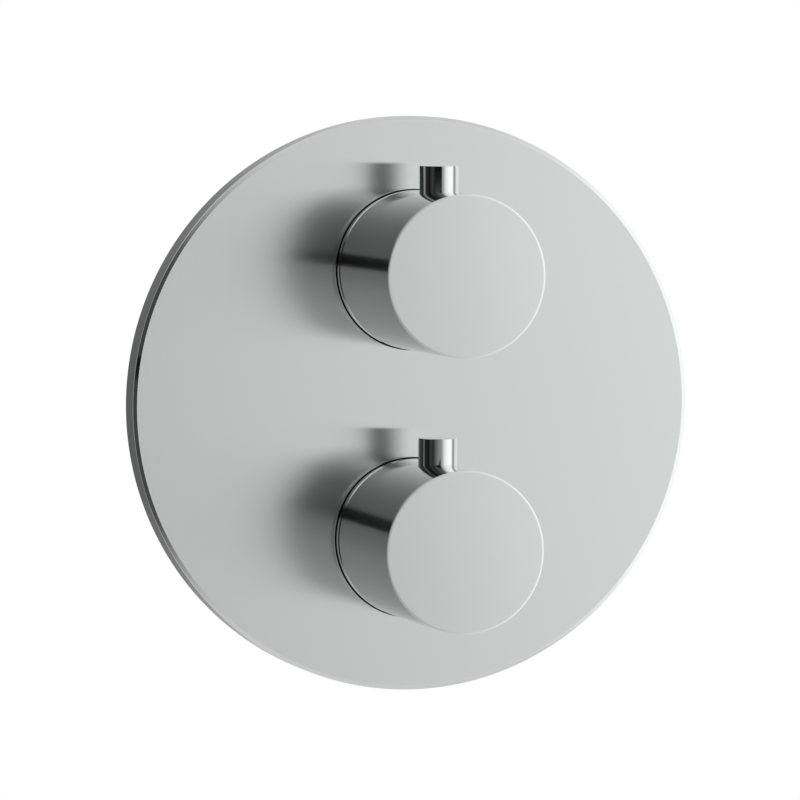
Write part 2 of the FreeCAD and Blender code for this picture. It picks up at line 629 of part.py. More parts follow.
def adapter(centre_z):
    """Plastic hub: rim in the knob, web, splined hole on the spindle and a stop lug behind."""
    web_front = ADAPTER_FRONT_Y + ADAPTER_LENGTH / 2 - ADAPTER_WEB / 2
    web_rear = web_front + ADAPTER_WEB
    rim_bore = ADAPTER_RADIUS - ADAPTER_RIM_WALL
    hub = turned([
        (0, ADAPTER_FRONT_Y),
        (ADAPTER_HUB_RADIUS, ADAPTER_FRONT_Y),
        (ADAPTER_HUB_RADIUS, web_front),
        (rim_bore, web_front),
        (rim_bore, ADAPTER_FRONT_Y),
        (ADAPTER_RADIUS, ADAPTER_FRONT_Y),
        (ADAPTER_RADIUS, ADAPTER_REAR_Y),
        (rim_bore, ADAPTER_REAR_Y),
        (rim_bore, web_rear),
        (ADAPTER_HUB_RADIUS, web_rear),
        (ADAPTER_HUB_RADIUS, ADAPTER_REAR_Y),
        (0, ADAPTER_REAR_Y),
    ], centre_z)
    lug_inner = STOP_RING_RADIUS - STOP_LUG_RADIAL
    lug_rear = STOP_RING_FRONT_Y - STOP_AXIAL_GAP
    lug = sector(lug_inner, STOP_RING_RADIUS, ADAPTER_REAR_Y, lug_rear,
                 LUG_CENTRE_DEG - LUG_HALF_DEG, 2 * LUG_HALF_DEG, centre_z)
    splines = spline_outline(SPLINE_TIP_RADIUS + FIXED_FIT, SPLINE_TOOTH_DEPTH)
    hole = prism(splines, SCREW_SEAT_Y + SPINDLE_WEB, ADAPTER_REAR_Y + CUT_OVER, centre_z)
    head_room = disc(ADAPTER_SCREW_HEAD_RADIUS + LOOSE_FIT, ADAPTER_FRONT_Y - CUT_OVER, SCREW_SEAT_Y,
                     centre_z)
    screw_way = disc(ADAPTER_SCREW_RADIUS + FIXED_FIT, SCREW_SEAT_Y - CUT_OVER, ADAPTER_REAR_Y, centre_z)
    stud_end = PIN_SEAT - PIN_STUD_LENGTH - FIXED_FIT
    stud_way = rod(PIN_STUD_RADIUS + FIXED_FIT, (0, PIN_Y, centre_z + stud_end), UP, KNOB_RADIUS)
    grub_end = KNOB_RADIUS - GRUB_RECESS - GRUB_LENGTH
    grub_way = rod(GRUB_RADIUS + FIXED_FIT, (0, PIN_Y, centre_z - grub_end), UP * -1, KNOB_RADIUS)
    return hub.fuse(lug).cut(hole).cut(head_room).cut(screw_way).cut(stud_way).cut(grub_way)


def adapter_screw(centre_z):
    """Cap screw that draws the adapter onto the spindle."""
    head_front = SCREW_SEAT_Y - ADAPTER_SCREW_HEAD
    head = disc(ADAPTER_SCREW_HEAD_RADIUS, head_front, SCREW_SEAT_Y, centre_z)
    shank = disc(ADAPTER_SCREW_RADIUS, SCREW_SEAT_Y, SCREW_SEAT_Y + ADAPTER_SCREW_LENGTH, centre_z)
    socket = prism(hexagon(ADAPTER_SCREW_SOCKET_FLATS), head_front,
                   head_front + ADAPTER_SCREW_SOCKET_DEPTH, centre_z)
    return head.fuse(shank).cut(socket)


def stop_ring(centre_z, most_deg, least_deg):
    """Ring on the bonnet's tube; its raised lug stops the adapter's lug at both limits."""
    plate = ring(BONNET_TUBE_RADIUS + FIXED_FIT, STOP_RING_RADIUS, STOP_RING_FRONT_Y, STOP_RING_REAR_Y,
                 centre_z)
    start = LUG_CENTRE_DEG + most_deg + LUG_HALF_DEG + STOP_MARGIN_DEG
    end = LUG_CENTRE_DEG + 360 + least_deg - LUG_HALF_DEG - STOP_MARGIN_DEG
    lug = sector(STOP_RING_RADIUS - STOP_LUG_RADIAL, STOP_RING_RADIUS,
                 STOP_RING_FRONT_Y - STOP_LUG_HEIGHT, STOP_RING_FRONT_Y, start, end - start, centre_z)
    return plate.fuse(lug)


# ---------------------------------------------------------------- valve body and bracket
def valve_body():
    """Brass casting: two barrels joined by a web, two inlets, two outlets and the bores within."""
    solid = body_web()
    for centre_z in (UPPER_Z, LOWER_Z):
        solid = solid.fuse(barrel(centre_z))
    solid = solid.fuse(rod(ARM_RADIUS, (-ARM_REACH, ARM_Y, LOWER_Z), RIGHT, 2 * ARM_REACH))
    solid = solid.fuse(rod(ARM_RADIUS, (0, OUTLET_Y, UPPER_Z), RIGHT, SIDE_OUTLET_REACH))
    solid = solid.fuse(rod(ARM_RADIUS, (0, OUTLET_Y, UPPER_Z), UP, TOP_OUTLET_REACH - UPPER_Z))
    for mouth in hexagon_mouths():
        solid = solid.fuse(mouth)
    for hollow in body_hollows():
        solid = solid.cut(hollow)
    return solid


def body_web():
    """Upright bar between the barrels, rounded where it faces the room."""
    front = BODY_BACK_Y - WEB_DEPTH
    web = block((-WEB_HALF_WIDTH, WEB_HALF_WIDTH), (front, BODY_BACK_Y), (LOWER_Z, UPPER_Z))
    uprights = [edge for edge in web.Edges
                if edge.BoundBox.ZLength > AXIS_SPACING / 2 and edge.BoundBox.YMax < front + EDGE_BAND]
    return web.makeFillet(WEB_EDGE_RADIUS, uprights)


def barrel(centre_z):
    """Seat of one cartridge, with the neck in front that carries the sleeve."""
    return turned([
        (0, BARREL_FRONT_Y),
        (NECK_RADIUS, BARREL_FRONT_Y),
        (NECK_RADIUS, SHOULDER_Y),
        (BARREL_RADIUS - BARREL_EDGE, SHOULDER_Y),
        (BARREL_RADIUS, SHOULDER_Y + BARREL_EDGE),
        (BARREL_RADIUS, BODY_BACK_Y - BARREL_EDGE),
        (BARREL_RADIUS - BARREL_EDGE, BODY_BACK_Y),
        (0, BODY_BACK_Y),
    ], centre_z)


def hexagon_mouths():
    """Hexagon ends of the inlets and outlets, for a spanner, with their corners turned down."""
    corner = MOUTH_HEX_FLATS / 2 / math.cos(math.radians(30))
    bevel = turned([
        (0, 0),
        (MOUTH_HEX_FLATS / 2, 0),
        (corner, MOUTH_EDGE),
        (corner, MOUTH_HEX_LENGTH),
        (0, MOUTH_HEX_LENGTH),
    ])
    end = prism(hexagon(MOUTH_HEX_FLATS), 0, MOUTH_HEX_LENGTH).common(bevel)
    mouths = [into_arm(end, side) for side in (-1, 1)]
    side_outlet = end.copy()
    side_outlet.rotate(ORIGIN, UP, 90)
    side_outlet.translate(FreeCAD.Vector(SIDE_OUTLET_REACH, OUTLET_Y, UPPER_Z))
    top_outlet = end.copy()
    top_outlet.rotate(ORIGIN, RIGHT, -90)
    top_outlet.translate(FreeCAD.Vector(0, OUTLET_Y, TOP_OUTLET_REACH))
    return mouths + [side_outlet, top_outlet]


def body_hollows():
    """Everything that is bored out of the casting."""
    hollows = [
        disc(POCKET_RADIUS, BARREL_FRONT_Y - CUT_OVER, LOWER_FLOOR_Y, LOWER_Z),
        disc(POCKET_RADIUS, BARREL_FRONT_Y - CUT_OVER, UPPER_FLOOR_Y, UPPER_Z),
        disc(MIX_CHAMBER_RADIUS, LOWER_FLOOR_Y - CUT_OVER, LOWER_FLOOR_Y + MIX_CHAMBER_DEPTH, LOWER_Z),
    ]
    for gallery_y in (COLD_Y, HOT_Y):
        front = gallery_y - GALLERY_WIDTH / 2
        hollows.append(disc(POCKET_RADIUS + GALLERY_DEPTH, front, front + GALLERY_WIDTH, LOWER_Z))
    for side, passage_y in ((-1, HOT_Y), (1, COLD_Y)):
        inwards = RIGHT * -side
        mouth = (side * ARM_REACH, ARM_Y, LOWER_Z)
        hollows.append(rod(THREAD_RADIUS, mouth, inwards, THREAD_LENGTH))
        hollows.append(rod(CHECK_BORE_RADIUS, mouth, inwards, CHECK_END))
        run = ARM_REACH - CHECK_END + CUT_OVER
        hollows.append(rod(INLET_PASSAGE_RADIUS, (side * run, passage_y, LOWER_Z), inwards, run))
    riser_top = UPPER_Z + INLET_PORT[1] + PORT_RADIUS
    foot = (0, RISER_Y, PLUG_SEAT_Z - PLUG_SEAT_DEPTH - CUT_OVER)
    head_room = PLUG_SEAT_DEPTH + CUT_OVER
    hollows.append(rod(RISER_RADIUS, foot, UP, riser_top - foot[2]))
    hollows.append(rod(PLUG_RADIUS + FIXED_FIT, foot, UP, head_room + PLUG_THREAD_LENGTH + LOOSE_FIT))
    hollows.append(rod(PLUG_HEAD_RADIUS + LOOSE_FIT, foot, UP, head_room))
    for port_x, port_z in PORTS:
        depth = RISER_Y - UPPER_FLOOR_Y if (port_x, port_z) == INLET_PORT else PORT_RUN
        start = (port_x, UPPER_FLOOR_Y - CUT_OVER, UPPER_Z + port_z)
        hollows.append(rod(PORT_RADIUS, start, INTO_WALL, depth + CUT_OVER))
    duct_y = UPPER_FLOOR_Y + PORT_RUN
    top_bore = TOP_OUTLET_REACH - THREAD_LENGTH
    side_bore = SIDE_OUTLET_REACH - THREAD_LENGTH
    port_z = UPPER_Z + LEFT_PORT[1]
    top_run = top_bore - port_z + CUT_OVER
    side_run = side_bore - RIGHT_PORT[0] + CUT_OVER
    hollows.append(rod(OUTLET_DUCT_RADIUS, (LEFT_PORT[0], duct_y, port_z), UP, top_run))
    hollows.append(rod(OUTLET_DUCT_RADIUS, (RIGHT_PORT[0], duct_y, port_z), RIGHT, side_run))
    hollows.append(rod(THREAD_RADIUS, (0, OUTLET_Y, top_bore), UP, THREAD_LENGTH + CUT_OVER))
    hollows.append(rod(THREAD_RADIUS, (side_bore, OUTLET_Y, UPPER_Z), RIGHT, THREAD_LENGTH + CUT_OVER))
    for x, z in bracket_screw_places():
        start = (x, BODY_BACK_Y - BRACKET_SCREW_LENGTH, z)
        hollows.append(rod(BRACKET_SCREW_RADIUS + FIXED_FIT, start, INTO_WALL,
                           BRACKET_SCREW_LENGTH + CUT_OVER))
    return hollows


def riser_plug():
    """Socket-head plug that closes the drilled end of the riser under the lower barrel."""
    head = rod(PLUG_HEAD_RADIUS, (0, RISER_Y, PLUG_SEAT_Z - PLUG_HEAD), UP, PLUG_HEAD)
    shank = rod(PLUG_RADIUS, (0, RISER_Y, PLUG_SEAT_Z), UP, PLUG_THREAD_LENGTH)
    socket = prism(hexagon(PLUG_SOCKET_FLATS), 0, PLUG_SOCKET_DEPTH)
    socket.rotate(ORIGIN, RIGHT, 90)
    socket.translate(FreeCAD.Vector(0, RISER_Y, PLUG_SEAT_Z - PLUG_HEAD))
    return head.fuse(shank).cut(socket)


def bracket_screw_places():
    """Places (x, z) of the four screws that join bracket and valve body."""
    return [(x, z) for x in (-BRACKET_SCREW_X, BRACKET_SCREW_X) for z in (-BRACKET_SCREW_Z, BRACKET_SCREW_Z)]


def mounting_bracket():
    """Steel plate behind the valve body with four slots for wall screws."""
    rear = BODY_BACK_Y + BRACKET_THICK
    width = (-BRACKET_HALF_WIDTH, BRACKET_HALF_WIDTH)
    height = (-BRACKET_HALF_HEIGHT, BRACKET_HALF_HEIGHT)
    plate = block(width, (BODY_BACK_Y, rear), height)
    corners = [edge for edge in plate.Edges if edge.BoundBox.YLength > BRACKET_THICK / 2]
    plate = plate.makeFillet(BRACKET_CORNER, corners)
    straight = BRACKET_SLOT_LENGTH / 2 - BRACKET_SLOT_HALF_WIDTH
    for x in (-BRACKET_SLOT_SPACING_X / 2, BRACKET_SLOT_SPACING_X / 2):
        for z in (-BRACKET_SLOT_SPACING_Z / 2, BRACKET_SLOT_SPACING_Z / 2):
            slot = block((x - straight, x + straight), (BODY_BACK_Y - CUT_OVER, rear + CUT_OVER),
                         (z - BRACKET_SLOT_HALF_WIDTH, z + BRACKET_SLOT_HALF_WIDTH))
            for end in (x - straight, x + straight):
                slot = slot.fuse(rod(BRACKET_SLOT_HALF_WIDTH, (end, BODY_BACK_Y - CUT_OVER, z), INTO_WALL,
                                     BRACKET_THICK + 2 * CUT_OVER))
            plate = plate.cut(slot)
    for x, z in bracket_screw_places():
        plate = plate.cut(countersunk_hole(x, z, rear))
    return plate


def countersunk_hole(x, z, rear):
    """Room for one countersunk screw through the bracket."""
    radius = BRACKET_SCREW_RADIUS + FIXED_FIT
    head = BRACKET_SCREW_HEAD_RADIUS + FIXED_FIT
    way = turned([
        (0, rear + CUT_OVER),
        (head, rear + CUT_OVER),
        (head, rear),
        (radius, rear - head + radius),
        (radius, BODY_BACK_Y - CUT_OVER),
        (0, BODY_BACK_Y - CUT_OVER),
    ])
    way.translate(FreeCAD.Vector(x, 0, z))
    return way


def bracket_screws():
    """The four countersunk screws between bracket and body, their heads flush with the bracket."""
    rear = BODY_BACK_Y + BRACKET_THICK
    cone = BRACKET_SCREW_HEAD_RADIUS - BRACKET_SCREW_RADIUS
    tip = rear - BRACKET_SCREW_LENGTH
    screw = turned([
        (0, rear),
        (BRACKET_SCREW_HEAD_RADIUS, rear),
        (BRACKET_SCREW_RADIUS, rear - cone),
        (BRACKET_SCREW_RADIUS, tip),
        (0, tip),
    ])
    screw = screw.cut(prism(hexagon(BRACKET_SCREW_SOCKET_FLATS), rear - cone, rear))
    screws = [screw.translated(FreeCAD.Vector(x, 0, z)) for x, z in bracket_screw_places()]
    return Part.makeCompound(screws)


# ---------------------------------------------------------------- shared cartridge pieces
def bonnet(centre_z):
    """Brass headpiece screwed into the barrel; its tube is the spindle's bearing."""
    bearing = SPLINE_TIP_RADIUS + RUNNING_FIT
    turned_part = turned([
        (bearing, TUBE_FRONT_Y),
        (BONNET_TUBE_RADIUS, TUBE_FRONT_Y),
        (BONNET_TUBE_RADIUS, FLANGE_FRONT_Y),
        (BONNET_FLANGE_RADIUS, FLANGE_FRONT_Y),
        (BONNET_FLANGE_RADIUS, BARREL_FRONT_Y),
        (POCKET_RADIUS - FIXED_FIT, BARREL_FRONT_Y),
        (POCKET_RADIUS - FIXED_FIT, CARTRIDGE_FRONT_Y),
        (BONNET_CAVITY_RADIUS, CARTRIDGE_FRONT_Y),
        (BONNET_CAVITY_RADIUS, BONNET_FLOOR_Y),
        (bearing, BONNET_FLOOR_Y),
    ], centre_z)
    nut = prism(hexagon(BONNET_HEX_FLATS), HEX_FRONT_Y, FLANGE_FRONT_Y, centre_z)
    nut = nut.cut(disc(BONNET_TUBE_RADIUS, HEX_FRONT_Y - CUT_OVER, FLANGE_FRONT_Y + CUT_OVER, centre_z))
    return turned_part.fuse(nut)


def spindle(centre_z):
    """Splined end, grooved shaft and flange; what follows the flange differs by cartridge."""
    groove = SPLINE_TIP_RADIUS - CIRCLIP_GROOVE
    seal_groove = SPLINE_TIP_RADIUS + RUNNING_FIT / 2 - SPINDLE_SEAL_THICK
    clip_front = CIRCLIP_REAR_Y - CIRCLIP_THICK - FIXED_FIT
    clip_rear = CIRCLIP_REAR_Y + FIXED_FIT
    spline_rear = SPINDLE_FRONT_Y + SPLINE_LENGTH
    seal_front = SPINDLE_SEAL_Y - SPINDLE_SEAL_WIDTH / 2
    seal_rear = SPINDLE_SEAL_Y + SPINDLE_SEAL_WIDTH / 2
    shaft = turned([
        (0, spline_rear),
        (SPLINE_TIP_RADIUS, spline_rear),
        (SPLINE_TIP_RADIUS, clip_front),
        (groove, clip_front),
        (groove, clip_rear),
        (SPLINE_TIP_RADIUS, clip_rear),
        (SPLINE_TIP_RADIUS, seal_front),
        (seal_groove, seal_front),
        (seal_groove, seal_rear),
        (SPLINE_TIP_RADIUS, seal_rear),
        (SPLINE_TIP_RADIUS, SPINDLE_FLANGE_Y),
        (SPINDLE_FLANGE_RADIUS, SPINDLE_FLANGE_Y),
        (SPINDLE_FLANGE_RADIUS, SPINDLE_FLANGE_REAR_Y),
        (0, SPINDLE_FLANGE_REAR_Y),
    ], centre_z)
    outline = spline_outline(SPLINE_TIP_RADIUS, SPLINE_TOOTH_DEPTH)
    teeth = prism(outline, SPINDLE_FRONT_Y, spline_rear, centre_z)
    tapped_rear = SCREW_SEAT_Y + ADAPTER_SCREW_LENGTH + LOOSE_FIT
    tapped = disc(ADAPTER_SCREW_RADIUS + FIXED_FIT, SPINDLE_FRONT_Y - CUT_OVER, tapped_rear, centre_z)
    return shaft.fuse(teeth).cut(tapped)


def circlip(centre_z):
    """Open spring ring that keeps the spindle from sliding back through the bonnet."""
    inner = SPLINE_TIP_RADIUS - CIRCLIP_GROOVE + FIXED_FIT
    start = CIRCLIP_OPENING_DEG / 2
    return sector(inner, CIRCLIP_RADIUS, CIRCLIP_REAR_Y - CIRCLIP_THICK, CIRCLIP_REAR_Y,
                  start, 360 - CIRCLIP_OPENING_DEG, centre_z)


def spindle_seal(centre_z):
    """Small O-ring that turns with the spindle inside the bonnet's tube."""
    outer = SPLINE_TIP_RADIUS + RUNNING_FIT / 2
    return seal_ring(outer - SPINDLE_SEAL_THICK, outer, SPINDLE_SEAL_Y, SPINDLE_SEAL_WIDTH, centre_z)


def housing_groove(middle, centre_z):
    """Room for one O-ring in a cartridge's outer wall."""
    inner = POCKET_RADIUS - HOUSING_SEAL_THICK
    front = middle - HOUSING_SEAL_WIDTH / 2
    return ring(inner, POCKET_RADIUS + CUT_OVER, front, front + HOUSING_SEAL_WIDTH, centre_z)


def housing_seals(middles, centre_z):
    """O-rings between a cartridge and the bore of its barrel."""
    inner = POCKET_RADIUS - HOUSING_SEAL_THICK
    seals = [seal_ring(inner, POCKET_RADIUS, middle, HOUSING_SEAL_WIDTH, centre_z) for middle in middles]
    return Part.makeCompound(seals)


# ---------------------------------------------------------------- thermostatic cartridge
def temperature_spindle():
    """Spindle whose rear end carries the screw thread of the regulating nut."""
    rear = SPINDLE_FLANGE_REAR_Y + THREAD_SPINDLE_LENGTH
    return spindle(LOWER_Z).fuse(disc(THREAD_SPINDLE_RADIUS, SPINDLE_FLANGE_REAR_Y, rear, LOWER_Z))


def radial_windows(middle):
    """Ring of openings through the housing's wall, with their middles at y = middle."""
    half_span = WINDOW_SPAN / 2
    half_width = WINDOW_WIDTH / 2
    inner = math.sqrt(HOUSING_BORE ** 2 - half_span ** 2) - CUT_OVER
    outer = CARTRIDGE_RADIUS + CUT_OVER
    windows = []
    for index in range(WINDOW_COUNT):
        window = block((-half_span, half_span), (middle - half_width, middle + half_width), (inner, outer))
        window.rotate(ORIGIN, TO_ROOM, 360.0 / WINDOW_COUNT * index)
        window.translate(UP * LOWER_Z)
        windows.append(window)
    return Part.makeCompound(windows)


def thermostat_housing():
    """Sleeve with cold windows in front and hot windows behind, keyed for the regulating nut."""
    sleeve_solid = ring(HOUSING_BORE, CARTRIDGE_RADIUS, CARTRIDGE_FRONT_Y, HOUSING_REAR_Y, LOWER_Z)
    for middle in THERMO_SEAL_YS:
        sleeve_solid = sleeve_solid.cut(housing_groove(middle, LOWER_Z))
    for middle in (COLD_Y, HOT_Y):
        front = middle - GALLERY_WIDTH / 2
        recess = ring(CARTRIDGE_RADIUS - FILTER_RECESS, CARTRIDGE_RADIUS + CUT_OVER, front,
                      front + GALLERY_WIDTH, LOWER_Z)
        sleeve_solid = sleeve_solid.cut(recess).cut(radial_windows(middle))
    reach = HOUSING_BORE + KEY_HEIGHT
    half = KEY_WIDTH / 2
    keyway = block((-reach, reach), (CARTRIDGE_FRONT_Y - CUT_OVER, COLD_Y),
                   (LOWER_Z - half, LOWER_Z + half))
    return sleeve_solid.cut(keyway)


def cartridge_filters():
    """Two perforated bands over the windows."""
    outer = CARTRIDGE_RADIUS - FIXED_FIT
    bands = []
    for middle in (COLD_Y, HOT_Y):
        front = middle - GALLERY_WIDTH / 2 + LOOSE_FIT
        rear = middle + GALLERY_WIDTH / 2 - LOOSE_FIT
        band = ring(outer - FILTER_THICK, outer, front, rear, LOWER_Z)
        for index in range(FILTER_HOLE_COUNT):
            hole = rod(FILTER_HOLE_RADIUS, (0, middle, 0), UP, CARTRIDGE_RADIUS + CUT_OVER)
            hole.rotate(ORIGIN, TO_ROOM, 360.0 / FILTER_HOLE_COUNT * index)
            hole.translate(UP * LOWER_Z)
            band = band.cut(hole)
        bands.append(band)
    return Part.makeCompound(bands)


def regulating_nut():
    """Cup that the spindle screws along the housing; two keys stop it from turning."""
    groove_front = PLUNGER_REAR_Y
    groove_rear = groove_front + SNAP_RING_THICK + FIXED_FIT
    groove = NUT_CUP_RADIUS + SNAP_RING_DEPTH
    bore = THREAD_SPINDLE_RADIUS + RUNNING_FIT
    nut = turned([
        (bore, NUT_FRONT_Y),
        (NUT_RADIUS, NUT_FRONT_Y),
        (NUT_RADIUS, NUT_REAR_Y),
        (NUT_CUP_RADIUS, NUT_REAR_Y),
        (NUT_CUP_RADIUS, groove_rear),
        (groove, groove_rear),
        (groove, groove_front),
        (NUT_CUP_RADIUS, groove_front),
        (NUT_CUP_RADIUS, NUT_FLOOR_Y),
        (bore, NUT_FLOOR_Y),
    ], LOWER_Z)
    inner = NUT_RADIUS - KEY_ROOT
    reach = HOUSING_BORE + KEY_HEIGHT - LOOSE_FIT
    half = KEY_WIDTH / 2 - RUNNING_FIT
    for side in (-1, 1):
        key = block((side * inner, side * reach), (NUT_FRONT_Y, NUT_REAR_Y),
                    (LOWER_Z - half, LOWER_Z + half))
        nut = nut.fuse(key)
    return nut


def overload_spring():
    """Strong spring in the nut that gives way when the wax pushes past a closed seat."""
    spring = coil_spring("overload_spring", OVERLOAD_MEAN_RADIUS, OVERLOAD_WIRE_RADIUS,
                         NUT_FLOOR_Y + SPRING_SEAT_GAP, PLUNGER_FRONT_Y - SPRING_SEAT_GAP, OVERLOAD_TURNS)
    spring.translate(UP * LOWER_Z)
    return spring


def overload_plunger():
    """Disc that the overload spring holds against the snap ring; the wax piston bears on it."""
    return disc(NUT_CUP_RADIUS - LOOSE_FIT, PLUNGER_FRONT_Y, PLUNGER_REAR_Y, LOWER_Z)


def nut_snap_ring():
    """Spring ring that holds the plunger in the nut."""
    inner = NUT_CUP_RADIUS - SNAP_RING_DEPTH
    outer = NUT_CUP_RADIUS + SNAP_RING_DEPTH - FIXED_FIT
    return sector(inner, outer, PLUNGER_REAR_Y, PLUNGER_REAR_Y + SNAP_RING_THICK,
                  SNAP_RING_OPENING_DEG / 2, 360 - SNAP_RING_OPENING_DEG, LOWER_Z)


def wax_piston():
    """Thin rod that the wax pushes out against the plunger."""
    return disc(PISTON_RADIUS, PLUNGER_REAR_Y, PLUNGER_REAR_Y + PISTON_LENGTH, LOWER_Z)


def wax_element():
    """Copper capsule full of wax, with a neck that guides the piston."""
    guide = PISTON_RADIUS + RUNNING_FIT
    hole_rear = PLUNGER_REAR_Y + PISTON_LENGTH + NUT_FRONT_CLEARANCE
    return turned([
        (guide, ELEMENT_NECK_Y),
        (ELEMENT_NECK_RADIUS, ELEMENT_NECK_Y),
        (ELEMENT_NECK_RADIUS, ELEMENT_FRONT_Y),
        (ELEMENT_RADIUS, ELEMENT_FRONT_Y),
        (ELEMENT_RADIUS, ELEMENT_REAR_Y - ELEMENT_CHAMFER),
        (ELEMENT_RADIUS - ELEMENT_CHAMFER, ELEMENT_REAR_Y),
        (0, ELEMENT_REAR_Y),
        (0, hole_rear),
        (guide, hole_rear),
    ], LOWER_Z)


def thermostat_shuttle():
    """Spool on the wax element that opens one row of windows as it closes the other."""
    spool = ring(ELEMENT_RADIUS + FIXED_FIT, SHUTTLE_RADIUS, SHUTTLE_FRONT_Y, SHUTTLE_REAR_Y, LOWER_Z)
    for index in range(SHUTTLE_HOLE_COUNT):
        hole = rod(SHUTTLE_HOLE_RADIUS, (0, SHUTTLE_FRONT_Y - CUT_OVER, SHUTTLE_HOLE_CIRCLE), INTO_WALL,
                   SHUTTLE_LENGTH + 2 * CUT_OVER)
        hole.rotate(ORIGIN, TO_ROOM, 360.0 / SHUTTLE_HOLE_COUNT * index)
        hole.translate(UP * LOWER_Z)
        spool = spool.cut(hole)
    return spool


def return_spring():
    """Spring that pushes shuttle and wax element back towards the knob."""
    spring = coil_spring("return_spring", RETURN_MEAN_RADIUS, RETURN_WIRE_RADIUS,
                         SHUTTLE_REAR_Y + SPRING_SEAT_GAP, END_DISC_FRONT_Y - SPRING_SEAT_GAP, RETURN_TURNS)
    spring.translate(UP * LOWER_Z)
    return spring


def thermostat_end_disc():
    """Perforated disc that closes the housing's rear end and seats the return spring."""
    plate = ring(END_DISC_OUTLET_RADIUS, HOUSING_BORE - FIXED_FIT, END_DISC_FRONT_Y, HOUSING_REAR_Y, LOWER_Z)
    for index in range(SHUTTLE_HOLE_COUNT):
        hole = rod(END_DISC_HOLE_RADIUS, (0, END_DISC_FRONT_Y - CUT_OVER, SHUTTLE_HOLE_CIRCLE), INTO_WALL,
                   END_DISC_THICK + 2 * CUT_OVER)
        hole.rotate(ORIGIN, TO_ROOM, 360.0 / SHUTTLE_HOLE_COUNT * index)
        hole.translate(UP * LOWER_Z)
        plate = plate.cut(hole)
    return plate


# ---------------------------------------------------------------- diverter cartridge
def diverter_spindle():
    """Spindle with a flat tang behind its flange that drives the carrier."""
    tang = block((-TANG_WIDTH / 2, TANG_WIDTH / 2),
                 (SPINDLE_FLANGE_REAR_Y, SPINDLE_FLANGE_REAR_Y + TANG_LENGTH),
                 (UPPER_Z - TANG_THICK / 2, UPPER_Z + TANG_THICK / 2))
    return spindle(UPPER_Z).fuse(tang)


def diverter_housing():
    """Sleeve around the ceramic discs."""
    sleeve_solid = ring(DISC_CHAMBER_RADIUS, CARTRIDGE_RADIUS, CARTRIDGE_FRONT_Y,
                        DIVERTER_HOUSING_REAR_Y, UPPER_Z)
    return sleeve_solid.cut(housing_groove(DIVERTER_SEAL_YS[0], UPPER_Z))


def dogs(front, outer, clearance):
    """Two short teeth behind y = front that lock one disc to the next, or the room for them."""
    inner = MOVING_DISC_RADIUS - DOG_RADIAL - clearance
    angle = DOG_HALF_DEG + math.degrees(clearance / MOVING_DISC_RADIUS)
    teeth = []
    for place in DOG_PLACES_DEG:
        teeth.append(sector(inner, outer, front, front + DOG_HEIGHT + clearance, place - angle,
                            2 * angle, UPPER_Z))
    return teeth


def disc_carrier():
    """Plastic driver with a slot for the tang and two dogs in the moving disc."""
    front = DISC_FRONT_Y - CARRIER_THICK
    boss_front = SPINDLE_FLANGE_REAR_Y + CARRIER_BOSS_GAP
    carrier = disc(MOVING_DISC_RADIUS, front, DISC_FRONT_Y, UPPER_Z)
    carrier = carrier.fuse(disc(CARRIER_BOSS_RADIUS, boss_front, front, UPPER_Z))
    half_width = TANG_WIDTH / 2 + FIXED_FIT
    half_thick = TANG_THICK / 2 + FIXED_FIT
    slot_rear = SPINDLE_FLANGE_REAR_Y + TANG_LENGTH + LOOSE_FIT
    slot = block((-half_width, half_width), (boss_front - CUT_OVER, slot_rear),
                 (UPPER_Z - half_thick, UPPER_Z + half_thick))
    for tooth in dogs(DISC_FRONT_Y, MOVING_DISC_RADIUS, 0.0):
        carrier = carrier.fuse(tooth)
    return carrier.cut(slot)


def kidney(front, rear):
    """Sector-shaped hollow that joins the inlet port to one outlet port when the disc is turned."""
    return sector(KIDNEY_INNER, KIDNEY_OUTER, front, rear, -KIDNEY_SPAN_DEG / 2, KIDNEY_SPAN_DEG, UPPER_Z)


def moving_disc():
    """Ceramic disc that turns with the knob, notched for the carrier's dogs."""
    plate = disc(MOVING_DISC_RADIUS, DISC_FRONT_Y, DISC_REAR_Y, UPPER_Z)
    for notch in dogs(DISC_FRONT_Y, MOVING_DISC_RADIUS + CUT_OVER, FIXED_FIT):
        plate = plate.cut(notch)
    return plate.cut(kidney(DISC_REAR_Y - KIDNEY_DEPTH, DISC_REAR_Y + CUT_OVER))


def port_rods(front, rear, radius):
    """One bar through each of the three ports."""
    return [rod(radius, (x, front, UPPER_Z + z), INTO_WALL, rear - front) for x, z in PORTS]


def fixed_disc():
    """Ceramic disc with the three ports, held by the base's dogs."""
    plate = disc(DISC_CHAMBER_RADIUS - FIXED_FIT, FIXED_DISC_Y, FIXED_DISC_REAR_Y, UPPER_Z)
    for port in port_rods(FIXED_DISC_Y - CUT_OVER, FIXED_DISC_REAR_Y + CUT_OVER, PORT_RADIUS):
        plate = plate.cut(port)
    for notch in dogs(FIXED_DISC_REAR_Y - DOG_HEIGHT - FIXED_FIT, DISC_CHAMBER_RADIUS, FIXED_FIT):
        plate = plate.cut(notch)
    return plate


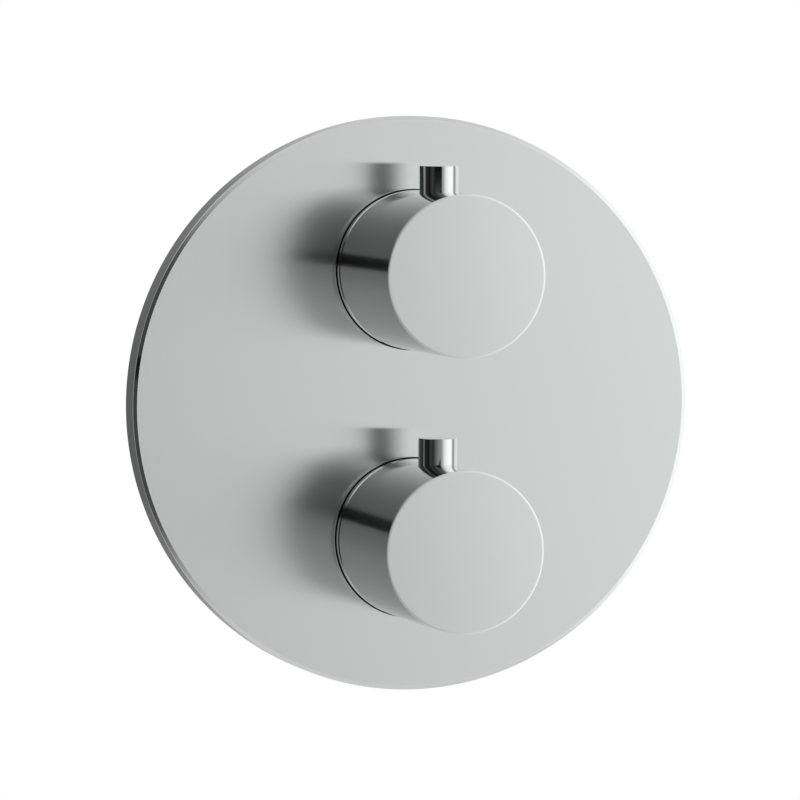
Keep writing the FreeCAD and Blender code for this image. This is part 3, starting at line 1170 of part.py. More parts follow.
def diverter_base():
    """Plastic base that carries the fixed disc and seals on the barrel's floor."""
    base = disc(DISC_CHAMBER_RADIUS - FIXED_FIT, FIXED_DISC_REAR_Y, DIVERTER_HOUSING_REAR_Y, UPPER_Z)
    base = base.fuse(disc(CARTRIDGE_RADIUS, DIVERTER_HOUSING_REAR_Y, BASE_REAR_Y, UPPER_Z))
    for port in port_rods(FIXED_DISC_REAR_Y - CUT_OVER, BASE_REAR_Y + CUT_OVER, PORT_RADIUS):
        base = base.cut(port)
    seal_room = PORT_RADIUS + BASE_SEAL_THICK + FIXED_FIT
    for room in port_rods(BASE_SEAL_FRONT_Y, BASE_REAR_Y + CUT_OVER, seal_room):
        base = base.cut(room)
    for tooth in dogs(FIXED_DISC_REAR_Y - DOG_HEIGHT, DISC_CHAMBER_RADIUS - FIXED_FIT, 0.0):
        base = base.fuse(tooth)
    return base.cut(housing_groove(DIVERTER_SEAL_YS[1], UPPER_Z))


def diverter_base_seals():
    """Three small rings around the ports at the barrel's floor."""
    seals = []
    middle = (BASE_SEAL_FRONT_Y + UPPER_FLOOR_Y) / 2
    for x, z in PORTS:
        seal = seal_ring(PORT_RADIUS, PORT_RADIUS + BASE_SEAL_THICK, middle, BASE_SEAL_WIDTH)
        seal.translate(FreeCAD.Vector(x, 0, UPPER_Z + z))
        seals.append(seal)
    return Part.makeCompound(seals)


# ---------------------------------------------------------------- inlet check valves
def into_arm(solid, side):
    """Lay a piece modelled along +Y, from the inlet's mouth inwards, into the arm on one side."""
    placed = solid.copy()
    placed.rotate(ORIGIN, UP, 90 * side)
    placed.translate(FreeCAD.Vector(side * ARM_REACH, ARM_Y, LOWER_Z))
    return placed


def inlet_strainer(side):
    """Rim with a perforated sheet that keeps grit out of the check valve."""
    strainer = turned([
        (0, STRAINER_START),
        (CAGE_RADIUS, STRAINER_START),
        (CAGE_RADIUS, STRAINER_START + STRAINER_THICK),
        (CAGE_RADIUS - STRAINER_RIM, STRAINER_START + STRAINER_THICK),
        (CAGE_RADIUS - STRAINER_RIM, STRAINER_START + STRAINER_SHEET),
        (0, STRAINER_START + STRAINER_SHEET),
    ])
    holes = [(0.0, 0.0)]
    for number in range(1, STRAINER_RING_COUNT + 1):
        reach = STRAINER_HOLE_PITCH * number
        count = STRAINER_RING_STEP_COUNT * number
        for index in range(count):
            angle = 2 * math.pi * index / count
            holes.append((reach * math.cos(angle), reach * math.sin(angle)))
    for x, z in holes:
        strainer = strainer.cut(rod(STRAINER_HOLE_RADIUS, (x, STRAINER_START - CUT_OVER, z), INTO_WALL,
                                    STRAINER_SHEET + 2 * CUT_OVER))
    return into_arm(strainer, side)


def check_cage(side):
    """Plastic cage with the seat in front and a three-armed guide behind."""
    seal_middle = (CAGE_START + CAGE_END) / 2
    groove_front = seal_middle - CAGE_SEAL_WIDTH / 2
    groove_rear = seal_middle + CAGE_SEAL_WIDTH / 2
    groove = CHECK_BORE_RADIUS - CAGE_SEAL_THICK
    cage = turned([
        (CAGE_SEAT_BORE, CAGE_START),
        (CAGE_RADIUS, CAGE_START),
        (CAGE_RADIUS, groove_front),
        (groove, groove_front),
        (groove, groove_rear),
        (CAGE_RADIUS, groove_rear),
        (CAGE_RADIUS, CAGE_END),
        (CAGE_BORE, CAGE_END),
        (CAGE_BORE, CAGE_START + CAGE_SEAT),
        (CAGE_SEAT_BORE, CAGE_START + CAGE_SEAT),
    ])
    hub = ring(POPPET_STEM_RADIUS + RUNNING_FIT, SPIDER_HUB_RADIUS, SPIDER_START, SPIDER_END)
    cage = cage.fuse(hub)
    for index in range(SPIDER_ARM_COUNT):
        arm = block((-SPIDER_ARM_WIDTH / 2, SPIDER_ARM_WIDTH / 2), (SPIDER_START, SPIDER_END),
                    (SPIDER_HUB_RADIUS - SPIDER_ARM_ROOT, CAGE_BORE + SPIDER_ARM_ROOT))
        arm.rotate(ORIGIN, TO_ROOM, 360.0 / SPIDER_ARM_COUNT * index)
        cage = cage.fuse(arm)
    return into_arm(cage.removeSplitter(), side)


def check_cage_seal(side):
    """O-ring between the cage and the inlet's bore."""
    middle = (CAGE_START + CAGE_END) / 2
    seal = seal_ring(CHECK_BORE_RADIUS - CAGE_SEAL_THICK, CHECK_BORE_RADIUS, middle, CAGE_SEAL_WIDTH)
    return into_arm(seal, side)


def check_poppet(side):
    """Disc and stem that water pushes inwards and the spring pushes shut."""
    poppet = turned([
        (0, POPPET_START),
        (POPPET_RADIUS, POPPET_START),
        (POPPET_RADIUS, POPPET_START + POPPET_HEAD / 2),
        (POPPET_STEM_RADIUS, POPPET_REAR),
        (POPPET_STEM_RADIUS, POPPET_REAR + POPPET_STEM_LENGTH),
        (0, POPPET_REAR + POPPET_STEM_LENGTH),
    ])
    return into_arm(poppet, side)


def check_spring(side, label):
    """Light spring between the poppet and the cage's guide."""
    spring = coil_spring(label, CHECK_MEAN_RADIUS, CHECK_WIRE_RADIUS,
                         POPPET_REAR + SPRING_SEAT_GAP, SPIDER_START - SPRING_SEAT_GAP, CHECK_TURNS)
    return into_arm(spring, side)


# ---------------------------------------------------------------- assembly
def build_parts():
    """Every node's name with its solid or its group of identical solids."""
    parts = {
        "face_plate": face_plate(),
        "plate_wall_seal": plate_wall_seal(),
        "valve_body": valve_body(),
        "riser_plug": riser_plug(),
        "mounting_bracket": mounting_bracket(),
        "bracket_screws": bracket_screws(),
        "diverter_stop_ring": stop_ring(UPPER_Z, DIVERTER_LIMIT_DEG, -DIVERTER_LIMIT_DEG),
        "temperature_stop_ring": stop_ring(LOWER_Z, HOT_LIMIT_DEG, COLD_LIMIT_DEG),
        "diverter_spindle": diverter_spindle(),
        "temperature_spindle": temperature_spindle(),
        "thermostat_housing": thermostat_housing(),
        "thermostat_housing_seals": housing_seals(THERMO_SEAL_YS, LOWER_Z),
        "thermostat_filters": cartridge_filters(),
        "regulating_nut": regulating_nut(),
        "overload_spring": overload_spring(),
        "overload_plunger": overload_plunger(),
        "nut_snap_ring": nut_snap_ring(),
        "wax_piston": wax_piston(),
        "wax_element": wax_element(),
        "thermostat_shuttle": thermostat_shuttle(),
        "return_spring": return_spring(),
        "thermostat_end_disc": thermostat_end_disc(),
        "diverter_housing": diverter_housing(),
        "diverter_seals": housing_seals(DIVERTER_SEAL_YS, UPPER_Z),
        "disc_carrier": disc_carrier(),
        "moving_disc": moving_disc(),
        "fixed_disc": fixed_disc(),
        "diverter_base": diverter_base(),
        "diverter_base_seals": diverter_base_seals(),
    }
    for name, centre_z in (("diverter", UPPER_Z), ("temperature", LOWER_Z)):
        parts[name + "_knob"] = knob(centre_z)
        parts[name + "_pin"] = lever_pin(centre_z)
        parts[name + "_grub_screw"] = grub_screw(centre_z)
        parts[name + "_adapter"] = adapter(centre_z)
        parts[name + "_adapter_screw"] = adapter_screw(centre_z)
        parts[name + "_sleeve"] = sleeve(centre_z)
        parts[name + "_sleeve_seal"] = sleeve_seal(centre_z)
        parts[name + "_bonnet"] = bonnet(centre_z)
        parts[name + "_circlip"] = circlip(centre_z)
        parts[name + "_spindle_seal"] = spindle_seal(centre_z)
    for name, side in (("hot", -1), ("cold", 1)):
        parts[name + "_inlet_strainer"] = inlet_strainer(side)
        parts[name + "_check_cage"] = check_cage(side)
        parts[name + "_check_seal"] = check_cage_seal(side)
        parts[name + "_check_poppet"] = check_poppet(side)
        parts[name + "_check_spring"] = check_spring(side, name + "_check_spring")
    return parts


def main():
    """Build every part, say what it is made of and write it."""
    os.makedirs("parts", exist_ok=True)
    for name, shape in build_parts().items():
        volume = round(shape.Volume, 1)
        print(name, "solids:", len(shape.Solids), "volume mm3:", volume, "valid:", shape.isValid())
        shape.exportStep("parts/" + name + ".step")


main()
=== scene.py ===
"""Looks of a concealed thermostatic shower valve: turned chrome trim in front, brass body in the wall."""

import json
import logging
import math
from dataclasses import dataclass
from enum import Enum
from functools import partial
from typing import Any, Optional, Sequence, Union

import bmesh
import bpy
from mathutils import Matrix, Vector

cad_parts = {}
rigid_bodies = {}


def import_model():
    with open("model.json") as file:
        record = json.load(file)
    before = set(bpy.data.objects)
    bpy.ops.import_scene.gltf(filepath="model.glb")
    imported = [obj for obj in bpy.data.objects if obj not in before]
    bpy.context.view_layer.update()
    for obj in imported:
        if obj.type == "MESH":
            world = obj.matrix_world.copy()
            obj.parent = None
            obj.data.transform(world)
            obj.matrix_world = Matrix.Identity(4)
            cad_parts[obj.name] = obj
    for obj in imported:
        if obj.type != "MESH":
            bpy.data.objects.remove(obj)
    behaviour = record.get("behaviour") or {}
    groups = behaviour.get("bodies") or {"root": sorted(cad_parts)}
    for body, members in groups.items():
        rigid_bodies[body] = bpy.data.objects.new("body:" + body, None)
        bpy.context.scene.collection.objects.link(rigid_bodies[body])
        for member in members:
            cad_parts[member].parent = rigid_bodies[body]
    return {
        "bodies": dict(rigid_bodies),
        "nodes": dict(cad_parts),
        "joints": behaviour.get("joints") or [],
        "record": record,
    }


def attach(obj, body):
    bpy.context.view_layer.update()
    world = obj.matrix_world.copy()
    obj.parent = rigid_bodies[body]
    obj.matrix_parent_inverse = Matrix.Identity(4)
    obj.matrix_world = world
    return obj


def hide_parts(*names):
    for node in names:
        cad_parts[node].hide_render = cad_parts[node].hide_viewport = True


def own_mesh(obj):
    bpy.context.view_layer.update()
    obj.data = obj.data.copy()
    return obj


LOG = logging.getLogger("shower_valve")
MM = 0.001
MERGE_DISTANCE = 1e-6
SHARP_DEG = 32.0
SRGB_LIMIT, SRGB_SLOPE, SRGB_SHIFT, SRGB_POWER = 0.04045, 12.92, 0.055, 2.4
TOP_LEVEL = 255
# sockets of a Mix node that mixes colours
MIX_FROM, MIX_TO, MIX_RESULT = 6, 7, 2
# how far the two cartridges' axes stand above and below the plate's middle
AXIS_HEIGHT_MM = 42.0

Material = bpy.types.Material
Mesh = bpy.types.Mesh
Node = bpy.types.Node
Piece = bpy.types.Object
Socket = bpy.types.NodeSocket
Tree = bpy.types.NodeTree
Triple = tuple[float, float, float]
Colour = tuple[float, float, float, float]


class Slot(Enum):
    """Material slots of the part's record."""

    SATIN_CHROME = "satin_chrome"
    POLISHED_CHROME = "polished_chrome"
    CAST_BRASS = "cast_brass"
    TURNED_BRASS = "turned_brass"
    STAINLESS_STEEL = "stainless_steel"
    ZINC_STEEL = "zinc_steel"
    COPPER = "copper"
    WHITE_PLASTIC = "white_plastic"
    GREY_PLASTIC = "grey_plastic"
    BLACK_PLASTIC = "black_plastic"
    CERAMIC = "ceramic"
    BLACK_RUBBER = "black_rubber"
    FOAM_RUBBER = "foam_rubber"


class Lie(Enum):
    """How a turned piece lies: the turn from the Y axis, on which it is made, to its own axis."""

    ALONG_Y = (0.0, 0.0, 0.0)
    UPRIGHT = (90.0, 0.0, 0.0)


class Joining(Enum):
    """What other solids do to a piece."""

    ADDED = "UNION"
    CUT_AWAY = "DIFFERENCE"


Materials = dict[Slot, Material]


# ---------------------------------------------------------------- nodes and colours
def linear(hex_colour: str) -> Colour:
    """Turns an sRGB colour into the linear one that a shader takes.

    Args:
        hex_colour: six hexadecimal digits, red first.

    Returns:
        Linear red, green, blue and an alpha of 1.
    """
    shares = [level / TOP_LEVEL for level in bytes.fromhex(hex_colour)]
    red, green, blue = (share / SRGB_SLOPE if share <= SRGB_LIMIT
                        else ((share + SRGB_SHIFT) / (1 + SRGB_SHIFT)) ** SRGB_POWER for share in shares)
    return red, green, blue, 1.0


def grey(level: float) -> Colour:
    """Neutral linear colour of a level, which may exceed 1."""
    return level, level, level, 1.0


def blank_tree(holder: Union[Material, bpy.types.World]) -> Tree:
    """Gives a material or a world an empty tree.

    Args:
        holder: the material or the world.

    Returns:
        Its tree.
    """
    holder.use_nodes = True
    holder.node_tree.nodes.clear()
    return holder.node_tree


def add_node(tree: Tree, kind: str, given: Optional[dict[Any, Any]] = None) -> Node:
    """Adds one node with its settings and its incoming links.

    Args:
        tree: the tree that gets the node.
        kind: the node's type.
        given: values by the name of a property, or by the name or number of an input. A socket is
            linked to the input, and a node stands for its first output.

    Returns:
        The new node.
    """
    node = tree.nodes.new(kind)
    for key, value in (given or {}).items():
        if isinstance(key, str) and hasattr(node, key):
            setattr(node, key, value)
        elif isinstance(value, (Node, Socket)):
            tree.links.new(value.outputs[0] if isinstance(value, Node) else value, node.inputs[key])
        else:
            node.inputs[key].default_value = value
    return node


def pattern_space(tree: Tree, size_mm: Triple) -> Node:
    """Object coordinates counted in a pattern's own size.

    Args:
        tree: the material's tree.
        size_mm: length of one grain of the pattern along X, Y and Z.

    Returns:
        The node that gives the scaled coordinates.
    """
    coordinates = add_node(tree, "ShaderNodeTexCoord").outputs["Object"]
    scale = tuple(1 / (size * MM) for size in size_mm)
    return add_node(tree, "ShaderNodeMapping", {"Scale": scale, "Vector": coordinates})


# ---------------------------------------------------------------- finishes
@dataclass(frozen=True)
class Grain:
    """A cloudy pattern: the size of its grains, and how finely and how roughly they break up."""

    size_mm: Triple
    detail: float
    roughness: float = 0.5


@dataclass(frozen=True)
class Finish:
    """What a surface is made of: colour and roughness follow its first grain, the relief its last."""

    name: str
    colour: str
    roughness: float
    metallic: float = 0.0
    other_colour: str = ""
    grains: tuple[Grain, ...] = ()
    depth_mm: float = 0.0
    roughness_spread: tuple[float, float] = (-0.04, 0.06)
    relief: float = 0.5

    def material(self) -> Material:
        """Makes the material.

        Returns:
            The material with its shader and pattern.
        """
        made = bpy.data.materials.new(self.name)
        tree = blank_tree(made)
        shader = add_node(tree, "ShaderNodeBsdfPrincipled", {
            "Base Color": linear(self.colour), "Roughness": self.roughness, "Metallic": self.metallic,
        })
        add_node(tree, "ShaderNodeOutputMaterial", {"Surface": shader})
        tone, height = self.pattern(tree)
        mix = add_node(tree, "ShaderNodeMix", {
            "data_type": "RGBA", 0: tone, MIX_FROM: linear(self.colour), MIX_TO: linear(self.other_colour),
        })
        smoothest, roughest = self.roughness_spread
        spread = add_node(tree, "ShaderNodeMapRange", {
            "Value": tone, "To Min": self.roughness + smoothest, "To Max": self.roughness + roughest,
        })
        bump = add_node(tree, "ShaderNodeBump", {
            "Strength": self.relief, "Distance": self.depth_mm * MM, "Height": height,
        })
        tree.links.new(mix.outputs[MIX_RESULT], shader.inputs["Base Color"])
        tree.links.new(spread.outputs[0], shader.inputs["Roughness"])
        tree.links.new(bump.outputs[0], shader.inputs["Normal"])
        self.direct(tree, shader)
        return made

    def pattern(self, tree: Tree) -> tuple[Node, Node]:
        """Adds the surface's pattern.

        Args:
            tree: the material's tree.

        Returns:
            What colour and roughness follow, and what the relief follows, both from 0 to 1.
        """
        clouds = [add_node(tree, "ShaderNodeTexNoise", {
            "Scale": 1.0, "Detail": grain.detail, "Roughness": grain.roughness,
            "Vector": pattern_space(tree, grain.size_mm),
        }) for grain in self.grains]
        return clouds[0], clouds[-1]

    def direct(self, tree: Tree, shader: Node) -> None:
        """Gives the shine a direction; a kind of finish that has one fills this in."""


@dataclass(frozen=True)
class BrushedPlating(Finish):
    """Plating over a face brushed up and down: reflections smear sideways and fine upright lines show.

    The brush lines are drawn a few times coarser than real ones so that they show.
    """

    other_colour: str = "DBDEDD"
    grains: tuple[Grain, ...] = (Grain((0.3, 0.3, 60.0), 3.0),)
    depth_mm: float = 0.0015
    roughness_spread: tuple[float, float] = (-0.008, 0.008)
    relief: float = 1.0
    smear: float = 1.0

    def direct(self, tree: Tree, shader: Node) -> None:
        """Smears what the surface mirrors across the brush lines.

        Args:
            tree: the material's tree.
            shader: the Principled node.
        """
        tangent = add_node(tree, "ShaderNodeTangent", {"direction_type": "UV_MAP", "uv_map": "UVMap"})
        tree.links.new(tangent.outputs[0], shader.inputs["Tangent"])
        shader.inputs["Anisotropic"].default_value = self.smear


@dataclass(frozen=True)
class PolishedPlating(Finish):
    """Bright plating over buffed metal: a near mirror that wavers a little and has a breath of haze."""

    other_colour: str = "CBCDCD"
    grains: tuple[Grain, ...] = (Grain((14.0, 14.0, 14.0), 2.0),)
    depth_mm: float = 0.0016
    roughness_spread: tuple[float, float] = (-0.01, 0.02)
    relief: float = 1.0


@dataclass(frozen=True)
class BlastedCasting(Finish):
    """Sand-cast metal cleaned by blasting: a fine dull grain under slow patches of deeper tarnish."""

    other_colour: str = "8F713C"
    grains: tuple[Grain, ...] = (Grain((22.0, 22.0, 22.0), 5.0, 0.6), Grain((0.45, 0.45, 0.45), 4.0, 0.7))
    depth_mm: float = 0.05
    roughness_spread: tuple[float, float] = (-0.06, 0.1)
    relief: float = 0.7


@dataclass(frozen=True)
class TurnedMetal(Finish):
    """Metal straight from the lathe: fine rings round the cartridge's axis, on walls and faces alike."""

    other_colour: str = "A98A4A"
    grains: tuple[Grain, ...] = (Grain((9.0, 9.0, 9.0), 3.0),)
    depth_mm: float = 0.008
    feed_mm: float = 0.5
    axis_height_mm: float = AXIS_HEIGHT_MM

    def pattern(self, tree: Tree) -> tuple[Node, Node]:
        """Feed marks, spaced wider than real ones so that they show, and a slow change of colour.

        Args:
            tree: the material's tree.

        Returns:
            The change of colour and the feed marks.
        """
        node = partial(add_node, tree)
        place = node("ShaderNodeSeparateXYZ", {"Vector": node("ShaderNodeTexCoord").outputs["Object"]}).outputs
        height = node("ShaderNodeMath", {"operation": "ABSOLUTE", 0: place["Z"]})
        beside = node("ShaderNodeMath", {"operation": "SUBTRACT", 0: height, 1: self.axis_height_mm * MM})
        across = node("ShaderNodeCombineXYZ", {"X": place["X"], "Y": beside})
        radius = node("ShaderNodeVectorMath", {"operation": "LENGTH", 0: across}).outputs["Value"]
        path = node("ShaderNodeMath", {"operation": "ADD", 0: radius, 1: place["Y"]})
        turns = node("ShaderNodeMath", {"operation": "MULTIPLY", 0: path, 1: math.tau / (self.feed_mm * MM)})
        wave = node("ShaderNodeMath", {"operation": "SINE", 0: turns})
        rings = node("ShaderNodeMapRange", {"From Min": -1.0, "Value": wave})
        return super().pattern(tree)[0], rings


@dataclass(frozen=True)
class DrawnMetal(Finish):
    """Drawn, rolled or ground metal: soft streaks along one direction and a slow change of tone."""

    other_colour: str = "A9AAA8"
    grains: tuple[Grain, ...] = (Grain((0.6, 12.0, 0.6), 4.0, 0.6),)
    depth_mm: float = 0.006
    roughness_spread: tuple[float, float] = (-0.06, 0.08)


SPARK_TEXTURE = Grain((0.3, 0.3, 0.3), 2.0)


@dataclass(frozen=True)
class Moulding(Finish):
    """Injection-moulded plastic or rubber: a faint flow mottle and the mould's fine spark texture."""

    other_colour: str = "D9D9D2"
    grains: tuple[Grain, ...] = (Grain((5.0, 5.0, 5.0), 3.0), SPARK_TEXTURE)
    depth_mm: float = 0.02


@dataclass(frozen=True)
class CellFoam(Finish):
    """Closed-cell foam cut to a strip: open pits where the cells were sliced, their middles darkened by painted
    shade.
    """

    # painted shade: the near-black colour that the pits' middles take
    other_colour: str = "101112"
    depth_mm: float = 0.25
    roughness_spread: tuple[float, float] = (0.0, 0.05)
    relief: float = 0.8
    cell_mm: float = 0.9
    cell_wall_share: float = 0.7

    def pattern(self, tree: Tree) -> tuple[Node, Node]:
        """Sliced cells, with painted shade darkening the pits.

        Args:
            tree: the material's tree.

        Returns:
            The pits, darkened by painted shade, and the cells with their raised walls.
        """
        cells = add_node(tree, "ShaderNodeTexVoronoi", {
            "Scale": 1.0, "Vector": pattern_space(tree, (self.cell_mm, self.cell_mm, self.cell_mm)),
        })
        # painted shade: the colour darkens towards each cell's middle, where the pit is deepest
        pits_painted_shade = add_node(tree, "ShaderNodeMapRange", {
            "Value": cells, "From Max": self.cell_wall_share, "To Min": 1.0, "To Max": 0.0,
        })
        return pits_painted_shade, cells


FINISHES: dict[Slot, Finish] = {
    # nickel-chrome over brass, brushed: soft, pale and slightly cool, blurs what it mirrors
    Slot.SATIN_CHROME: BrushedPlating("satin_chrome_brushed", "DEE1E0", 0.145, 1.0),
    # nickel-chrome over buffed brass: a clear mirror a little darker than the room
    Slot.POLISHED_CHROME: PolishedPlating("chrome_polished", "D3D5D5", 0.05, 1.0),
    # leaded brass, sand cast and blasted: dull yellow grain
    Slot.CAST_BRASS: BlastedCasting("brass_cast_blasted", "C3A05C", 0.46, 1.0),
    # free-cutting brass from the lathe: bright yellow with fine rings
    Slot.TURNED_BRASS: TurnedMetal("brass_turned", "D6B469", 0.24, 1.0),
    # stainless wire, sheet and screws: bright, cool grey with short streaks
    Slot.STAINLESS_STEEL: DrawnMetal("stainless_steel_drawn", "C9C9C6", 0.24, 1.0),
    # zinc-plated sheet: grey with a pale blue and yellow passivation cast
    Slot.ZINC_STEEL: DrawnMetal("steel_rolled_zinc_plated", "BFC3C6", 0.36, 1.0, "B9B6A2",
                                (Grain((18.0, 3.0, 1.2), 4.0, 0.6),)),
    # deep-drawn copper capsule: warm red-brown, softly streaked along its length
    Slot.COPPER: DrawnMetal("copper_drawn", "CB8A66", 0.3, 1.0, "A8694A"),
    # acetal, moulded: milky white with a dry sheen
    Slot.WHITE_PLASTIC: Moulding("acetal_moulded", "E6E6E1", 0.38),
    # glass-filled polyamide, moulded: mid grey, faintly marbled by the fibres
    Slot.GREY_PLASTIC: Moulding("polyamide_glass_filled_moulded", "6B6D70", 0.46, 0.0, "5C5E62",
                                (Grain((2.5, 2.5, 2.5), 3.0), SPARK_TEXTURE), depth_mm=0.03),
    # polysulphone, moulded and dyed through: near black with a satin sheen
    Slot.BLACK_PLASTIC: Moulding("polysulphone_moulded", "2B2C2E", 0.34, 0.0, "232425"),
    # alumina, sintered and lapped: ivory, glossy and even
    Slot.CERAMIC: Moulding("alumina_lapped", "F0EDE4", 0.12, 0.0, "E7E3D8", depth_mm=0.002),
    # nitrile rubber, moulded: matt black with a grey bloom
    Slot.BLACK_RUBBER: Moulding("nitrile_rubber_moulded", "1E1F1F", 0.55, 0.0, "2A2A2A",
                                (Grain((3.0, 3.0, 3.0), 3.0), SPARK_TEXTURE)),
    # ethylene rubber foam, cut from sheet: matt charcoal with open pits, darkened towards their middles by painted
    # shade
    Slot.FOAM_RUBBER: CellFoam("rubber_foam_cut", "3A3B3C", 0.9),
}


# ---------------------------------------------------------------- workshop
@dataclass(frozen=True)
class Corner:
    """One corner of a turned outline, in millimetres."""

    radius: float
    place: float
    rounding: float = 0.0
    brushed: bool = False


@dataclass(frozen=True)
class Seat:
    """Where a winding starts and the way it runs."""

    place_mm: Triple
    way: Triple


class Machine:
    """A workshop machine: it makes pieces from points with one Geometry Nodes tree."""

    TITLE = ""
    INPUTS: dict[str, str] = {}

    def __init__(self, materials: Materials) -> None:
        """Builds the tree with its named inputs.

        Args:
            materials: the finished materials by slot.
        """
        self.materials = materials
        self.tree = bpy.data.node_groups.new(self.TITLE, "GeometryNodeTree")
        for name, kind in self.INPUTS.items():
            self.tree.interface.new_socket(name, in_out="INPUT", socket_type=f"NodeSocket{kind}")
        self.tree.interface.new_socket("Piece", in_out="OUTPUT", socket_type="NodeSocketGeometry")
        self.fill_tree()

    def fill_tree(self) -> None:
        """Adds the tree's nodes; a kind of machine fills this in."""

    def make(self, name: str, mesh: Mesh, values: dict[str, Any]) -> Piece:
        """Runs the tree on a mesh of points.

        Args:
            name: the piece's name.
            mesh: the points.
            values: the tree's inputs by name, set by their sockets' identifiers.

        Returns:
            The piece as a plain closed mesh, with faces outwards.
        """
        piece = bpy.data.objects.new(name, mesh)
        bpy.context.scene.collection.objects.link(piece)
        modifier = piece.modifiers.new(self.TITLE, "NODES")
        modifier.node_group = self.tree
        for item in self.tree.interface.items_tree:
            if item.in_out == "INPUT" and item.name in values:
                modifier[item.identifier] = values[item.name]
        return settle(piece)


